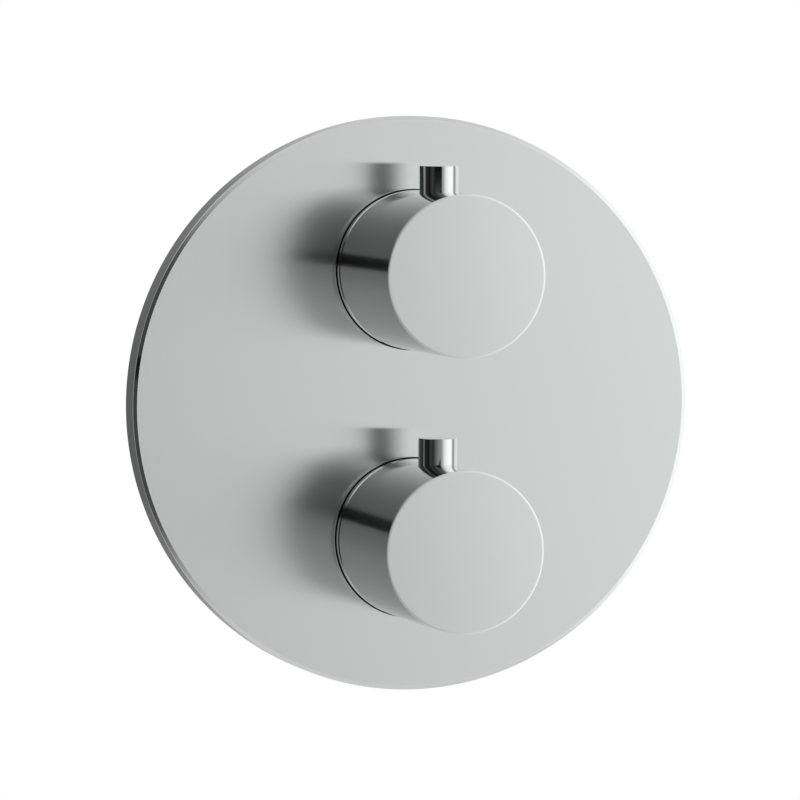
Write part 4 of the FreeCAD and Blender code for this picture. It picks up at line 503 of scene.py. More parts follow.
class Lathe(Machine):
    """Turns outlines into closed meshes."""

    TITLE = "turning"
    INPUTS = {"Outline": "Geometry", "Segments": "Int", "Centre": "Vector", "Turn": "Vector",
              "Brushed Finish": "Material", "Plain Finish": "Material"}
    SEGMENTS = 256
    ARC_STEP_DEG = 15.0
    LEAST_ARC_STEPS = 2
    SUPPORT_MM = 0.05
    BRUSH_SPACE_MM = 100.0

    def turn(self, name: str, corners: Sequence[Corner], centre_mm: Triple, lie: Lie = Lie.ALONG_Y) -> Piece:
        """Turns one outline, with satin bands where it is marked as brushed and polished ones elsewhere.

        Args:
            name: the piece's name.
            corners: the outline from the axis, or from any corner of a ring's closed outline.
            centre_mm: where the outline's zero stands.
            lie: the direction of the piece's own axis.

        Returns:
            The piece.
        """
        return self.make(name, self.outline_mesh(name, corners), {
            "Segments": self.SEGMENTS,
            "Centre": [value * MM for value in centre_mm],
            "Turn": [math.radians(angle) for angle in lie.value],
            "Brushed Finish": self.materials[Slot.SATIN_CHROME],
            "Plain Finish": self.materials[Slot.POLISHED_CHROME],
        })

    def outline_mesh(self, name: str, corners: Sequence[Corner]) -> Mesh:
        """Rounds the corners and makes the outline a chain of points.

        Args:
            name: the mesh's name.
            corners: the outline's corners.

        Returns:
            A mesh of points in order, with their distance from the axis as X and their place as Y.
        """
        closed = corners[0].radius > 0
        ring = [*corners, corners[0]] if closed else list(corners)
        points: list[tuple[Vector, bool]] = []
        last = len(ring) - 1
        for index, corner in enumerate(ring):
            if corner.rounding > 0 and (closed or 0 < index < last):
                before = ring[index - 1] if index > 0 else ring[last - 1]
                after = ring[index + 1] if index < last else ring[1]
                arc = self.rounded(*(Vector((spot.radius, spot.place)) for spot in (before, corner, after)),
                                   corner.rounding)
                points += [(point, before.brushed) for point in arc[:-1]]
                points.append((arc[-1], corner.brushed))
            else:
                points.append((Vector((corner.radius, corner.place)), corner.brushed))
        mesh = bpy.data.meshes.new(name)
        mesh.from_pydata([(point.x * MM, point.y * MM, 0.0) for point, _ in points], [], [])
        band = mesh.attributes.new("brushed", "FLOAT", "POINT")
        band.data.foreach_set("value", [float(brushed) for _, brushed in points])
        return mesh

    def rounded(self, before: Vector, here: Vector, after: Vector, radius: float) -> list[Vector]:
        """Points that round one corner, with a support point on each straight beside the arc.

        Args:
            before: the corner before.
            here: the corner itself.
            after: the corner after.
            radius: radius of the rounding.

        Returns:
            The points in order.
        """
        inward, outward = (before - here).normalized(), (after - here).normalized()
        turn = math.pi - inward.angle(outward)
        reach = radius * math.tan(turn / 2)
        start, end = here + inward * reach, here + outward * reach
        centre = here + (inward + outward).normalized() * (radius / math.cos(turn / 2))
        steps = max(self.LEAST_ARC_STEPS, math.ceil(math.degrees(turn) / self.ARC_STEP_DEG))
        first, final = start - centre, end - centre
        side = 1 if first.x * final.y - first.y * final.x > 0 else -1
        points = [start + inward * self.SUPPORT_MM]
        for step in range(steps + 1):
            angle = side * turn * step / steps
            cosine, sine = math.cos(angle), math.sin(angle)
            points.append(centre + Vector((first.x * cosine - first.y * sine,
                                           first.x * sine + first.y * cosine)))
        return points + [end + outward * self.SUPPORT_MM]

    def fill_tree(self) -> None:
        """Sweeps the chain of points round the axis: a grid's columns are the turn, its rows the points."""
        node = partial(add_node, self.tree)
        given = node("NodeGroupInput").outputs
        points = node("GeometryNodeAttributeDomainSize", {0: given["Outline"]})
        columns = node("ShaderNodeMath", {"operation": "ADD", 0: given["Segments"], 1: 1.0})
        grid = node("GeometryNodeMeshGrid", {
            "Size X": 1.0, "Size Y": 1.0, "Vertices X": points, "Vertices Y": columns,
        })
        bands = node("ShaderNodeMath", {"operation": "SUBTRACT", 0: points, 1: 1.0})
        position = node("GeometryNodeInputPosition")
        spot = node("ShaderNodeSeparateXYZ", {0: position}).outputs
        along = node("ShaderNodeMath", {"operation": "ADD", 0: spot["X"], 1: 0.5})
        count = node("ShaderNodeMath", {"operation": "MULTIPLY", 0: along, 1: bands})
        nearest = node("ShaderNodeMath", {"operation": "ROUND", 0: count})
        below = node("ShaderNodeMath", {"operation": "FLOOR", 0: count})
        mark = node("GeometryNodeInputNamedAttribute", {"data_type": "FLOAT", "Name": "brushed"})
        band_mark = node("GeometryNodeSampleIndex", {
            "data_type": "FLOAT", "domain": "POINT", "Geometry": given["Outline"], "Value": mark, "Index": below,
        })
        marked = node("GeometryNodeStoreNamedAttribute", {
            "data_type": "FLOAT", "domain": "FACE", "Name": "brushed_band", "Geometry": grid, "Value": band_mark,
        })
        point = node("GeometryNodeSampleIndex", {
            "data_type": "FLOAT_VECTOR", "domain": "POINT", "Geometry": given["Outline"], "Value": position,
            "Index": nearest,
        })
        outline = node("ShaderNodeSeparateXYZ", {0: point}).outputs
        turned = node("ShaderNodeMath", {"operation": "ADD", 0: spot["Y"], 1: 0.5})
        angle = node("ShaderNodeMath", {"operation": "MULTIPLY", 0: turned, 1: math.tau})
        across, upward = (node("ShaderNodeMath", {
            "operation": "MULTIPLY", 0: outline["X"], 1: node("ShaderNodeMath", {"operation": wave, 0: angle}),
        }) for wave in ("COSINE", "SINE"))
        target = node("ShaderNodeCombineXYZ", {"X": across, "Y": outline["Y"], "Z": upward})
        swept = node("GeometryNodeSetPosition", {"Geometry": marked, "Position": target})
        closed = node("GeometryNodeMergeByDistance", {"Distance": MERGE_DISTANCE, "Geometry": swept})
        placed = node("GeometryNodeTransform", {
            "Geometry": closed, "Translation": given["Centre"], "Rotation": given["Turn"],
        })
        side = node("ShaderNodeCombineXYZ", {"X": spot["X"], "Y": spot["Z"]})
        brush_space = node("ShaderNodeVectorMath", {
            "operation": "SCALE", "Scale": 1 / (self.BRUSH_SPACE_MM * MM), 0: side,
        })
        mapped = node("GeometryNodeStoreNamedAttribute", {
            "data_type": "FLOAT2", "domain": "CORNER", "Name": "UVMap", "Geometry": placed, "Value": brush_space,
        })
        realized = node("GeometryNodeRealizeInstances", {0: mapped})
        plain = node("GeometryNodeSetMaterial", {"Geometry": realized, "Material": given["Plain Finish"]})
        chosen = node("GeometryNodeInputNamedAttribute", {"data_type": "FLOAT", "Name": "brushed_band"})
        is_brushed = node("FunctionNodeCompare", {"operation": "GREATER_THAN", 0: chosen, 1: 0.5})
        brushed = node("GeometryNodeSetMaterial", {
            "Geometry": plain, "Selection": is_brushed, "Material": given["Brushed Finish"],
        })
        node("NodeGroupOutput", {0: brushed})


class Winder(Machine):
    """Winds thread crests and springs."""

    TITLE = "winding"
    INPUTS = {"Seats": "Geometry", "Radius": "Float", "Wire": "Float", "Start": "Float", "Length": "Float",
              "Turns": "Float", "Steps": "Int", "Sides": "Int", "Finish": "Material"}

    def wind(self, name: str, seats: Sequence[Seat], finish: Slot, sizes: dict[str, Any]) -> Piece:
        """Sets one winding on each seat.

        Args:
            name: the piece's name.
            seats: where the windings start.
            finish: the slot of their finish.
            sizes: the tree's other inputs by name, with lengths in millimetres.

        Returns:
            All windings as one piece.
        """
        mesh = bpy.data.meshes.new(name)
        mesh.from_pydata([Vector(seat.place_mm) * MM for seat in seats], [], [])
        way = mesh.attributes.new("way", "FLOAT_VECTOR", "POINT")
        way.data.foreach_set("vector", [value for seat in seats for value in seat.way])
        lengths = {key: sizes[key] * MM for key in ("Radius", "Wire", "Start", "Length")}
        return self.make(name, mesh, {**sizes, **lengths, "Finish": self.materials[finish]})

    def fill_tree(self) -> None:
        """Sets a helix of wire on each seat."""
        node = partial(add_node, self.tree)
        given = node("NodeGroupInput").outputs
        helix = node("GeometryNodeCurveSpiral", {
            "Resolution": given["Steps"], "Rotations": given["Turns"], "Start Radius": given["Radius"],
            "End Radius": given["Radius"], "Height": given["Length"],
        })
        section = node("GeometryNodeCurvePrimitiveCircle", {
            "mode": "RADIUS", "Radius": given["Wire"], "Resolution": given["Sides"],
        })
        wire = node("GeometryNodeCurveToMesh", {"Fill Caps": True, "Curve": helix, "Profile Curve": section})
        offset = node("ShaderNodeCombineXYZ", {"Z": given["Start"]})
        moved = node("GeometryNodeTransform", {"Geometry": wire, "Translation": offset})
        way = node("GeometryNodeInputNamedAttribute", {"data_type": "FLOAT_VECTOR", "Name": "way"})
        facing = node("FunctionNodeAlignRotationToVector", {"axis": "Z", "Vector": way})
        seated = node("GeometryNodeInstanceOnPoints", {
            "Points": given["Seats"], "Instance": moved, "Rotation": facing,
        })
        realized = node("GeometryNodeRealizeInstances", {0: seated})
        finished = node("GeometryNodeSetMaterial", {"Geometry": realized, "Material": given["Finish"]})
        node("NodeGroupOutput", {0: finished})


def settle(piece: Piece) -> Piece:
    """Turns what a piece's modifiers make into its plain mesh, closed and with faces outwards.

    Args:
        piece: the object with its modifiers.

    Returns:
        The same object, with the plain mesh and no modifier.
    """
    bpy.context.view_layer.update()
    evaluated = piece.evaluated_get(bpy.context.evaluated_depsgraph_get())
    mesh = bpy.data.meshes.new_from_object(evaluated)
    piece.modifiers.clear()
    old = piece.data
    piece.data = mesh
    bpy.data.meshes.remove(old)
    mesh.name = piece.name
    work = bmesh.new()
    work.from_mesh(mesh)
    bmesh.ops.remove_doubles(work, verts=work.verts, dist=MERGE_DISTANCE)
    bmesh.ops.recalc_face_normals(work, faces=work.faces)
    work.to_mesh(mesh)
    work.free()
    mesh.shade_smooth()
    mesh.set_sharp_from_angle(angle=math.radians(SHARP_DEG))
    return piece


def combine(piece: Piece, joining: Joining, others: Sequence[Piece]) -> Piece:
    """Adds other solids to a piece, or cuts them out of it, and removes them.

    Args:
        piece: the piece.
        joining: what the others do to it.
        others: the other solids.

    Returns:
        The piece.
    """
    for other in others:
        modifier = piece.modifiers.new(joining.name, "BOOLEAN")
        modifier.operation = joining.value
        modifier.solver = "EXACT"
        modifier.material_mode = "TRANSFER"
        modifier.object = other
    settle(piece)
    for other in others:
        bpy.data.objects.remove(other)
    return piece


def hand_over(piece: Piece, body: str, slot: Slot, *nodes: str) -> None:
    """Ties a finished piece to the frame.

    Args:
        piece: the piece, in place.
        body: the body that it rides on.
        slot: the record's slot of its finish; not used.
        nodes: the CAD nodes that it stands for, if any.
    """
    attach(piece, body)
    if nodes:
        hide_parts(*nodes)
    LOG.info("%s: %d faces on %s", piece.name, len(piece.data.polygons), body)


# ---------------------------------------------------------------- trim in front of the wall
@dataclass
class FacePlate:
    """Round plate on the wall: a shallow cup with two necked holes."""

    radius: float = 90.0
    depth: float = 10.0
    sheet: float = 2.0
    chamfer_width: float = 1.2
    chamfer_depth: float = 0.5
    bevel_width: float = 0.13
    bevel_depth: float = 0.27
    edge: float = 0.12
    bevel_edge: float = 0.04
    hole_radius: float = 25.25
    hole_edge: float = 0.05
    neck_wall: float = 2.6
    neck_rear: float = -1.0
    hole_heights: tuple[float, float] = (AXIS_HEIGHT_MM, -AXIS_HEIGHT_MM)
    cut_over: float = 1.0

    def build(self, lathe: Lathe) -> Piece:
        """Turns the cup, adds the necks and cuts the holes.

        Args:
            lathe: the workshop's lathe.

        Returns:
            The plate.
        """
        inner, face = self.radius - self.sheet, -self.depth
        floor, middle = face + self.sheet, face + self.sheet / 2
        bevel_front = face + self.chamfer_depth
        plate = lathe.turn("wall_face_plate", [
            Corner(0, face, brushed=True),
            Corner(self.radius - self.chamfer_width, face, self.edge),
            Corner(self.radius - self.bevel_width, bevel_front, self.bevel_edge),
            Corner(self.radius, bevel_front + self.bevel_depth, self.bevel_edge),
            Corner(self.radius, 0, self.edge),
            Corner(inner, 0, brushed=True),
            Corner(inner, floor, brushed=True),
            Corner(0, floor),
        ], (0, 0, 0))
        neck = self.hole_radius + self.neck_wall
        combine(plate, Joining.ADDED, [lathe.turn(f"neck_{number}", [
            Corner(0, middle),
            Corner(neck, middle),
            Corner(neck, self.neck_rear, self.edge),
            Corner(0, self.neck_rear),
        ], (0, 0, height)) for number, height in enumerate(self.hole_heights)])
        start, end = face - self.cut_over, self.neck_rear + self.cut_over
        return combine(plate, Joining.CUT_AWAY, [lathe.turn(f"hole_{number}", [
            Corner(0, start),
            Corner(self.hole_radius + self.hole_edge + self.cut_over, start),
            Corner(self.hole_radius, face + self.hole_edge),
            Corner(self.hole_radius, end),
            Corner(0, end),
        ], (0, 0, height)) for number, height in enumerate(self.hole_heights)])

    def dress(self, plate: Piece) -> None:
        """Ties the plate to the wall unit."""
        hand_over(plate, "wall_unit", Slot.SATIN_CHROME, "face_plate")


@dataclass
class Handle:
    """One knob with its pin and the sleeve behind it."""

    name: str
    height: float
    radius: float = 25.0
    front: float = -68.5
    rear: float = -14.0
    bore: float = 21.0
    front_wall: float = 4.0
    crown: float = 0.2
    crown_shares: tuple[float, ...] = (0.0, 0.25, 0.5, 0.75)
    roll_start: float = 24.3
    roll_radius: float = 3.0
    roll_deg: float = 9.0
    rear_bevel: float = 0.35
    edge: float = 0.1
    pin_radius: float = 6.0
    pin_place: float = -37.7
    pin_standout: float = 8.0
    pin_sunk: float = 1.0
    pin_edge: float = 0.15
    pin_fit: float = 0.05
    stud_radius: float = 3.0
    stud_length: float = 6.5
    grub_radius: float = 2.5
    cut_over: float = 2.0
    sleeve_front: float = -13.4
    sleeve_rear: float = 13.7
    sleeve_body: float = 2.0
    sleeve_bore: float = 21.5
    sleeve_thread: float = 21.05
    sleeve_edge: float = 0.35
    groove_radius: float = 23.25
    groove: tuple[float, float] = (-6.4, -3.4)

    def build(self, lathe: Lathe) -> list[Piece]:
        """Knob, pin and sleeve, made on the workshop's lathe."""
        return [self.knob(lathe), self.pin(lathe), self.sleeve(lathe)]

    def knob(self, lathe: Lathe) -> Piece:
        """Hollow cylinder with a slightly crowned front, bored for the pin above and the grub screw below.

        Args:
            lathe: the workshop's lathe.

        Returns:
            The knob.
        """
        roll = math.radians(self.roll_deg)
        shoulder = self.roll_start + self.roll_radius * math.tan(roll / 2)
        brow, floor = self.front + self.crown, self.front + self.front_wall
        knob = lathe.turn(f"{self.name}_turned_knob", [
            *(Corner(shoulder * share, self.front + self.crown * share ** 2, brushed=True)
              for share in self.crown_shares),
            Corner(shoulder, brow, self.roll_radius, brushed=True),
            Corner(self.radius, brow + (self.radius - shoulder) * math.tan(roll), self.edge),
            Corner(self.radius, self.rear - self.rear_bevel, self.edge),
            Corner(self.radius - self.rear_bevel, self.rear, self.edge),
            Corner(self.bore, self.rear),
            Corner(self.bore, floor),
            Corner(0, floor),
        ], (0, 0, self.height))
        seat, within, beyond = self.radius - self.pin_sunk, self.bore - self.cut_over, self.radius + self.cut_over
        stud, head, grub = (size + self.pin_fit for size in (self.stud_radius, self.pin_radius, self.grub_radius))
        pin_pocket = [Corner(0, within), Corner(stud, within), Corner(stud, seat), Corner(head, seat),
                      Corner(head, beyond), Corner(0, beyond)]
        grub_hole = [Corner(0, -beyond), Corner(grub, -beyond), Corner(grub, -within), Corner(0, -within)]
        place = (0, self.pin_place, self.height)
        return combine(knob, Joining.CUT_AWAY, [
            lathe.turn("pin_pocket", pin_pocket, place, Lie.UPRIGHT),
            lathe.turn("grub_hole", grub_hole, place, Lie.UPRIGHT),
        ])

    def pin(self, lathe: Lathe) -> Piece:
        """Upright round pin on its stud.

        Args:
            lathe: the workshop's lathe.

        Returns:
            The pin.
        """
        seat, top = self.radius - self.pin_sunk, self.radius + self.pin_standout
        return lathe.turn(f"{self.name}_turned_pin", [
            Corner(0, top),
            Corner(self.pin_radius, top, self.pin_edge),
            Corner(self.pin_radius, seat),
            Corner(self.stud_radius, seat),
            Corner(self.stud_radius, seat - self.stud_length),
            Corner(0, seat - self.stud_length),
        ], (0, self.pin_place, self.height), Lie.UPRIGHT)

    def sleeve(self, lathe: Lathe) -> Piece:
        """Tube between body and knob, whose front end shows as a thin ring.

        Args:
            lathe: the workshop's lathe.

        Returns:
            The sleeve.
        """
        front, rear = self.groove
        return lathe.turn(f"{self.name}_turned_sleeve", [
            Corner(self.sleeve_bore, self.sleeve_front + self.sleeve_edge),
            Corner(self.sleeve_bore + self.sleeve_edge, self.sleeve_front, self.edge),
            Corner(self.radius - self.sleeve_edge, self.sleeve_front, self.edge),
            Corner(self.radius, self.sleeve_front + self.sleeve_edge, self.edge),
            Corner(self.radius, front),
            Corner(self.groove_radius, front),
            Corner(self.groove_radius, rear),
            Corner(self.radius, rear),
            Corner(self.radius, self.sleeve_rear, self.edge),
            Corner(self.sleeve_thread, self.sleeve_rear),
            Corner(self.sleeve_thread, self.sleeve_body),
            Corner(self.sleeve_bore, self.sleeve_body),
        ], (0, 0, self.height))

    def dress(self, pieces: Sequence[Piece]) -> None:
        """Ties knob and pin to the turning body and the sleeve to the wall unit.

        Args:
            pieces: knob, pin and sleeve.
        """
        knob, pin, sleeve = pieces
        hand_over(knob, f"{self.name}_control", Slot.SATIN_CHROME, f"{self.name}_knob")
        hand_over(pin, f"{self.name}_control", Slot.POLISHED_CHROME, f"{self.name}_pin")
        hand_over(sleeve, "wall_unit", Slot.POLISHED_CHROME, f"{self.name}_sleeve")


# ---------------------------------------------------------------- in the wall
@dataclass
class PortThreads:
    """Crests of the pipe threads in the four ports."""

    bore_radius: float = 9.3
    pitch: float = 1.814
    turns: float = 6.0
    crest: float = 0.32
    start: float = 1.0
    steps_per_turn: int = 48
    crest_sides: int = 4
    ports: tuple[Seat, ...] = (
        Seat((-60.0, 35.0, -AXIS_HEIGHT_MM), (1.0, 0.0, 0.0)),
        Seat((60.0, 35.0, -AXIS_HEIGHT_MM), (-1.0, 0.0, 0.0)),
        Seat((58.0, 42.0, AXIS_HEIGHT_MM), (-1.0, 0.0, 0.0)),
        Seat((0.0, 42.0, 80.0), (0.0, 0.0, -1.0)),
    )

    def build(self, winder: Winder) -> Piece:
        """Winds one crest in each port.

        Args:
            winder: the workshop's winder.

        Returns:
            All crests as one piece.
        """
        return winder.wind("port_threads", self.ports, Slot.TURNED_BRASS, {
            "Radius": self.bore_radius, "Wire": self.crest, "Start": self.start,
            "Length": self.pitch * self.turns, "Turns": self.turns,
            "Steps": self.steps_per_turn, "Sides": self.crest_sides,
        })

    def dress(self, crests: Piece) -> None:
        """Ties the crests to the wall unit."""
        hand_over(crests, "wall_unit", Slot.TURNED_BRASS)


@dataclass
class CoilSpring:
    """Compression spring between a fixed seat and a piece that slides; the real spring shortens as the joint moves.
    """

    node: str
    joint: str
    free_end: Seat
    mean_radius: float
    wire_radius: float
    length: float
    turns: float
    travel: float
    steps_per_turn: int = 40
    wire_sides: int = 12

    def build(self, winder: Winder) -> Piece:
        """Winds the spring from its free end.

        Args:
            winder: the workshop's winder.

        Returns:
            The spring.
        """
        return winder.wind(f"{self.node}_wound", [self.free_end], Slot.STAINLESS_STEEL, {
            "Radius": self.mean_radius, "Wire": self.wire_radius, "Start": self.wire_radius,
            "Length": self.length - 2 * self.wire_radius, "Turns": self.turns,
            "Steps": self.steps_per_turn, "Sides": self.wire_sides,
        })

    def dress(self, spring: Piece) -> None:
        """Ties the spring to the wall unit and gives it a mesh of its own.

        Args:
            spring: the spring.
        """
        hand_over(spring, "wall_unit", Slot.STAINLESS_STEEL, self.node)
        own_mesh(spring)


SPRINGS = (
    *(CoilSpring(f"{side}_check_spring", f"{side}_check_lift",
                 Seat((-41.63 * way, 35.0, -AXIS_HEIGHT_MM), (way, 0.0, 0.0)),
                 mean_radius=3.4, wire_radius=0.25, length=10.88, turns=6.0, travel=3.0)
      for side, way in (("hot", 1.0), ("cold", -1.0))),
    CoilSpring("return_spring", "shuttle_travel", Seat((0.0, 37.6, -AXIS_HEIGHT_MM), (0.0, 1.0, 0.0)),
               mean_radius=6.2, wire_radius=0.5, length=7.8, turns=4.0, travel=0.68),
)


@dataclass(frozen=True)
class CarriedAssembly:
    """A sub-assembly whose pieces stay as the frame has them and get their finish."""

    title: str
    pieces: tuple[str, ...]

    def dress(self, frame: dict[str, Any], materials: Materials) -> None:
        """Gives each piece the finish of its slot in the record.

        Args:
            materials: the finished materials by slot.
        """
        slots = {part["node"]: Slot(part["material_slot"]) for part in frame["record"]["subparts"]}
        for name in self.pieces:
            for holder in frame["nodes"][name].material_slots:
                holder.material = materials[slots[name]]
            LOG.info("%s: %s in %s", self.title, name, slots[name].value)


CARRIED = (
    CarriedAssembly("wall unit", (
        "valve_body", "riser_plug", "mounting_bracket", "bracket_screws", "plate_wall_seal",
        "diverter_sleeve_seal", "temperature_sleeve_seal",
    )),
    *(CarriedAssembly(f"{side} drive", tuple(f"{side}_{part}" for part in (
        "adapter", "adapter_screw", "grub_screw", "stop_ring", "bonnet", "spindle", "circlip",
        "spindle_seal",
    ))) for side in ("diverter", "temperature")),
    CarriedAssembly("thermostatic cartridge", (
        "thermostat_housing", "thermostat_housing_seals", "thermostat_filters", "regulating_nut",
        "overload_spring", "overload_plunger", "nut_snap_ring", "wax_element", "wax_piston",
        "thermostat_shuttle", "thermostat_end_disc",
    )),
    CarriedAssembly("diverter cartridge", (
        "diverter_housing", "diverter_seals", "disc_carrier", "moving_disc", "fixed_disc",
        "diverter_base", "diverter_base_seals",
    )),
    *(CarriedAssembly(f"{side} check valve", tuple(f"{side}_{part}" for part in (
        "inlet_strainer", "check_cage", "check_seal", "check_poppet",
    ))) for side in ("hot", "cold")),
)


# ---------------------------------------------------------------- studio
@dataclass(frozen=True)
class Panel:
    """One place on the tent round the object, and how bright it is there below and above the horizon."""

    azimuth_deg: float
    low: float
    high: float


@dataclass(frozen=True)
class Lamp:
    """One soft lamp for what isn't a mirror."""

    name: str
    place: Triple
    size: float
    power: float


@dataclass
class Studio:
    """Camera, lamps, floor, backdrop and the tent that the chrome mirrors."""

    target_mm: Triple = (0.0, -10.0, 0.0)
    camera_azimuth_deg: float = -16.054
    camera_elevation_deg: float = 3.371
    camera_roll_deg: float = 0.256
    camera_distance_mm: float = 1817.0
    camera_reach: float = 50.0
    focal_px: float = 5800.5
    target_px: tuple[float, float] = (413.13, 403.73)
    frame_px: float = 800.0
    sensor_mm: float = 36.0
    floor_height_mm: float = -300.0
    floor_size_mm: float = 8000.0
    floor_shade_mm: tuple[float, float] = (250.0, 900.0)
    floor_glow: float = 0.55
    tent_radius_mm: float = 5000.0
    tent_segments: int = 96
    diffuse_level: float = 0.55
    horizon_deg: float = 8.0
    tent_top: float = 0.9
    tent_top_deg: tuple[float, float] = (21.0, 48.0)
    bar_mm: tuple[float, float, float, float] = (-900.0, 0.0, 40.0, 144.0)
    bar_ahead_mm: float = 1100.0
    panels: tuple[Panel, ...] = (
        Panel(-180, 0.26, 0.28), Panel(-170, 0.15, 0.19), Panel(-163, 0.12, 0.14), Panel(-142, 0.02, 0.02),
        Panel(-130, 0.12, 0.12), Panel(-114, 0.45, 0.42), Panel(-107, 0.25, 0.2), Panel(-98, 0.03, 0.03),
        Panel(-72, 0.01, 0.01), Panel(-57, 0.07, 0.06), Panel(-43, 0.03, 0.03), Panel(-31, 0.13, 0.1),
        Panel(-19, 0.28, 0.12), Panel(-7, 0.4, 0.14), Panel(1, 0.38, 0.28), Panel(8, 0.46, 0.56),
        Panel(17, 0.76, 0.96), Panel(24, 1.1, 1.22), Panel(38, 1.35, 1.4), Panel(46, 1.5, 1.5),
        Panel(72, 1.5, 1.5), Panel(79, 0.6, 0.6), Panel(91, 0.43, 0.43), Panel(103, 0.95, 0.95),
        Panel(120, 1.25, 1.25), Panel(148, 1.1, 1.1), Panel(172, 0.45, 0.45), Panel(180, 0.26, 0.28),
    )
    lamp_set: tuple[Lamp, ...] = (
        Lamp("key", (1.2, -1.6, 1.4), 1.4, 26.0),
        Lamp("fill", (-1.5, -1.2, 0.6), 1.6, 12.0),
        Lamp("back", (0.6, 1.8, 1.2), 1.6, 22.0),
    )

    def camera(self) -> None:
        """Stands the camera at the photograph's viewing angle."""
        azimuth, elevation = math.radians(self.camera_azimuth_deg), math.radians(self.camera_elevation_deg)
        back = Vector((math.sin(azimuth) * math.cos(elevation), -math.cos(azimuth) * math.cos(elevation),
                       math.sin(elevation)))
        right = Vector((0, 0, 1)).cross(back).normalized()
        upward = back.cross(right)
        roll = math.radians(self.camera_roll_deg)
        tilted_right = right * math.cos(roll) + upward * math.sin(roll)
        tilted_up = upward * math.cos(roll) - right * math.sin(roll)
        data = bpy.data.cameras.new("camera")
        data.sensor_width = self.sensor_mm
        data.lens = self.sensor_mm * self.focal_px / self.frame_px
        data.clip_end = self.camera_reach
        data.shift_x = (self.frame_px / 2 - self.target_px[0]) / self.frame_px
        data.shift_y = (self.target_px[1] - self.frame_px / 2) / self.frame_px
        camera = bpy.data.objects.new("camera", data)
        place = (Vector(self.target_mm) + back * self.camera_distance_mm) * MM
        turn = Matrix((tilted_right, tilted_up, back)).transposed()
        camera.matrix_world = Matrix.Translation(place) @ turn.to_4x4()
        bpy.context.scene.collection.objects.link(camera)
        bpy.context.scene.camera = camera

    def seen(self, tree: Tree) -> tuple[Node, Socket]:
        """Tells the rays of the camera and of mirrors from those that light things.

        Args:
            tree: the tree of a material or of the world.

        Returns:
            What is 1 for a camera or mirror ray, and what is 1 for a ray through glass.
        """
        path = add_node(tree, "ShaderNodeLightPath").outputs
        seen = add_node(tree, "ShaderNodeMath", {
            "operation": "MAXIMUM", 0: path["Is Camera Ray"], 1: path["Is Glossy Ray"],
        })
        return seen, path["Is Transmission Ray"]

    def world(self) -> None:
        """White for the camera and for mirrors, moderate for what it lights."""
        world = bpy.data.worlds.new("studio")
        tree = blank_tree(world)
        seen, through_glass = self.seen(tree)
        white = add_node(tree, "ShaderNodeMath", {"operation": "MAXIMUM", 0: seen, 1: through_glass})
        strength = add_node(tree, "ShaderNodeMapRange", {
            "To Min": self.diffuse_level, "To Max": 1.0, "Value": white,
        })
        background = add_node(tree, "ShaderNodeBackground", {"Color": linear("FFFFFF"), "Strength": strength})
        add_node(tree, "ShaderNodeOutputWorld", {"Surface": background})
        bpy.context.scene.world = world

    def floor(self) -> None:
        """Lays the pale floor, half lit and half glowing so that it stays white and keeps the shadow."""
        half, height = self.floor_size_mm / 2 * MM, self.floor_height_mm * MM
        material = bpy.data.materials.new("floor_paper_pale")
        tree = blank_tree(material)
        paper = add_node(tree, "ShaderNodeBsdfDiffuse", {"Color": linear("F4F4F4")})
        seen, _ = self.seen(tree)
        glow = add_node(tree, "ShaderNodeEmission", {"Color": linear("FFFFFF"), "Strength": 1.0})
        coordinates = add_node(tree, "ShaderNodeTexCoord").outputs["Object"]
        flat = add_node(tree, "ShaderNodeVectorMath", {"operation": "MULTIPLY", 0: coordinates, 1: (1.0, 1.0, 0.0)})
        away = add_node(tree, "ShaderNodeVectorMath", {"operation": "LENGTH", 0: flat}).outputs["Value"]
        near, far = (distance * MM for distance in self.floor_shade_mm)
        fade = add_node(tree, "ShaderNodeMapRange", {
            "interpolation_type": "SMOOTHSTEP", "From Min": near, "From Max": far,
            "To Min": self.floor_glow, "To Max": 1.0, "Value": away,
        })
        share = add_node(tree, "ShaderNodeMath", {"operation": "MULTIPLY", 0: seen, 1: fade})
        surface = add_node(tree, "ShaderNodeMixShader", {0: share, 1: paper, 2: glow})
        add_node(tree, "ShaderNodeOutputMaterial", {"Surface": surface})
        self.set_on_stage("studio_floor", self.sheet("studio_floor", [
            (-half, -half, height), (half, -half, height), (half, half, height), (-half, half, height),
        ]), material, False)

    def tent(self) -> None:
        """Hangs the tent: white above and below, panels of light and dark round the middle."""
        radius = self.tent_radius_mm * MM
        work = bmesh.new()
        bmesh.ops.create_uvsphere(work, u_segments=self.tent_segments, v_segments=self.tent_segments // 2,
                                  radius=radius)
        mesh = bpy.data.meshes.new("studio_tent")
        work.to_mesh(mesh)
        work.free()
        material = bpy.data.materials.new("tent_cloth_lit")
        tree = blank_tree(material)
        coordinates = add_node(tree, "ShaderNodeTexCoord").outputs["Object"]
        place = add_node(tree, "ShaderNodeSeparateXYZ", {"Vector": coordinates}).outputs
        ahead = add_node(tree, "ShaderNodeMath", {"operation": "MULTIPLY", 0: place["Y"], 1: -1.0})
        azimuth = add_node(tree, "ShaderNodeMath", {"operation": "ARCTAN2", 0: place["X"], 1: ahead})
        share = add_node(tree, "ShaderNodeMapRange", {"From Min": -math.pi, "From Max": math.pi, "Value": azimuth})
        low, high = (self.ring_of_light(tree, share, levels) for levels in (
            [panel.low for panel in self.panels], [panel.high for panel in self.panels]))
        rim = radius * math.sin(math.radians(self.horizon_deg))
        above = add_node(tree, "ShaderNodeMapRange", {"From Min": -rim, "From Max": rim, "Value": place["Z"]})
        round_middle = add_node(tree, "ShaderNodeMix", {"data_type": "RGBA", 0: above, MIX_FROM: low, MIX_TO: high})
        climb = add_node(tree, "ShaderNodeMath", {"operation": "ABSOLUTE", 0: place["Z"]})
        start, end = (radius * math.sin(math.radians(angle)) for angle in self.tent_top_deg)
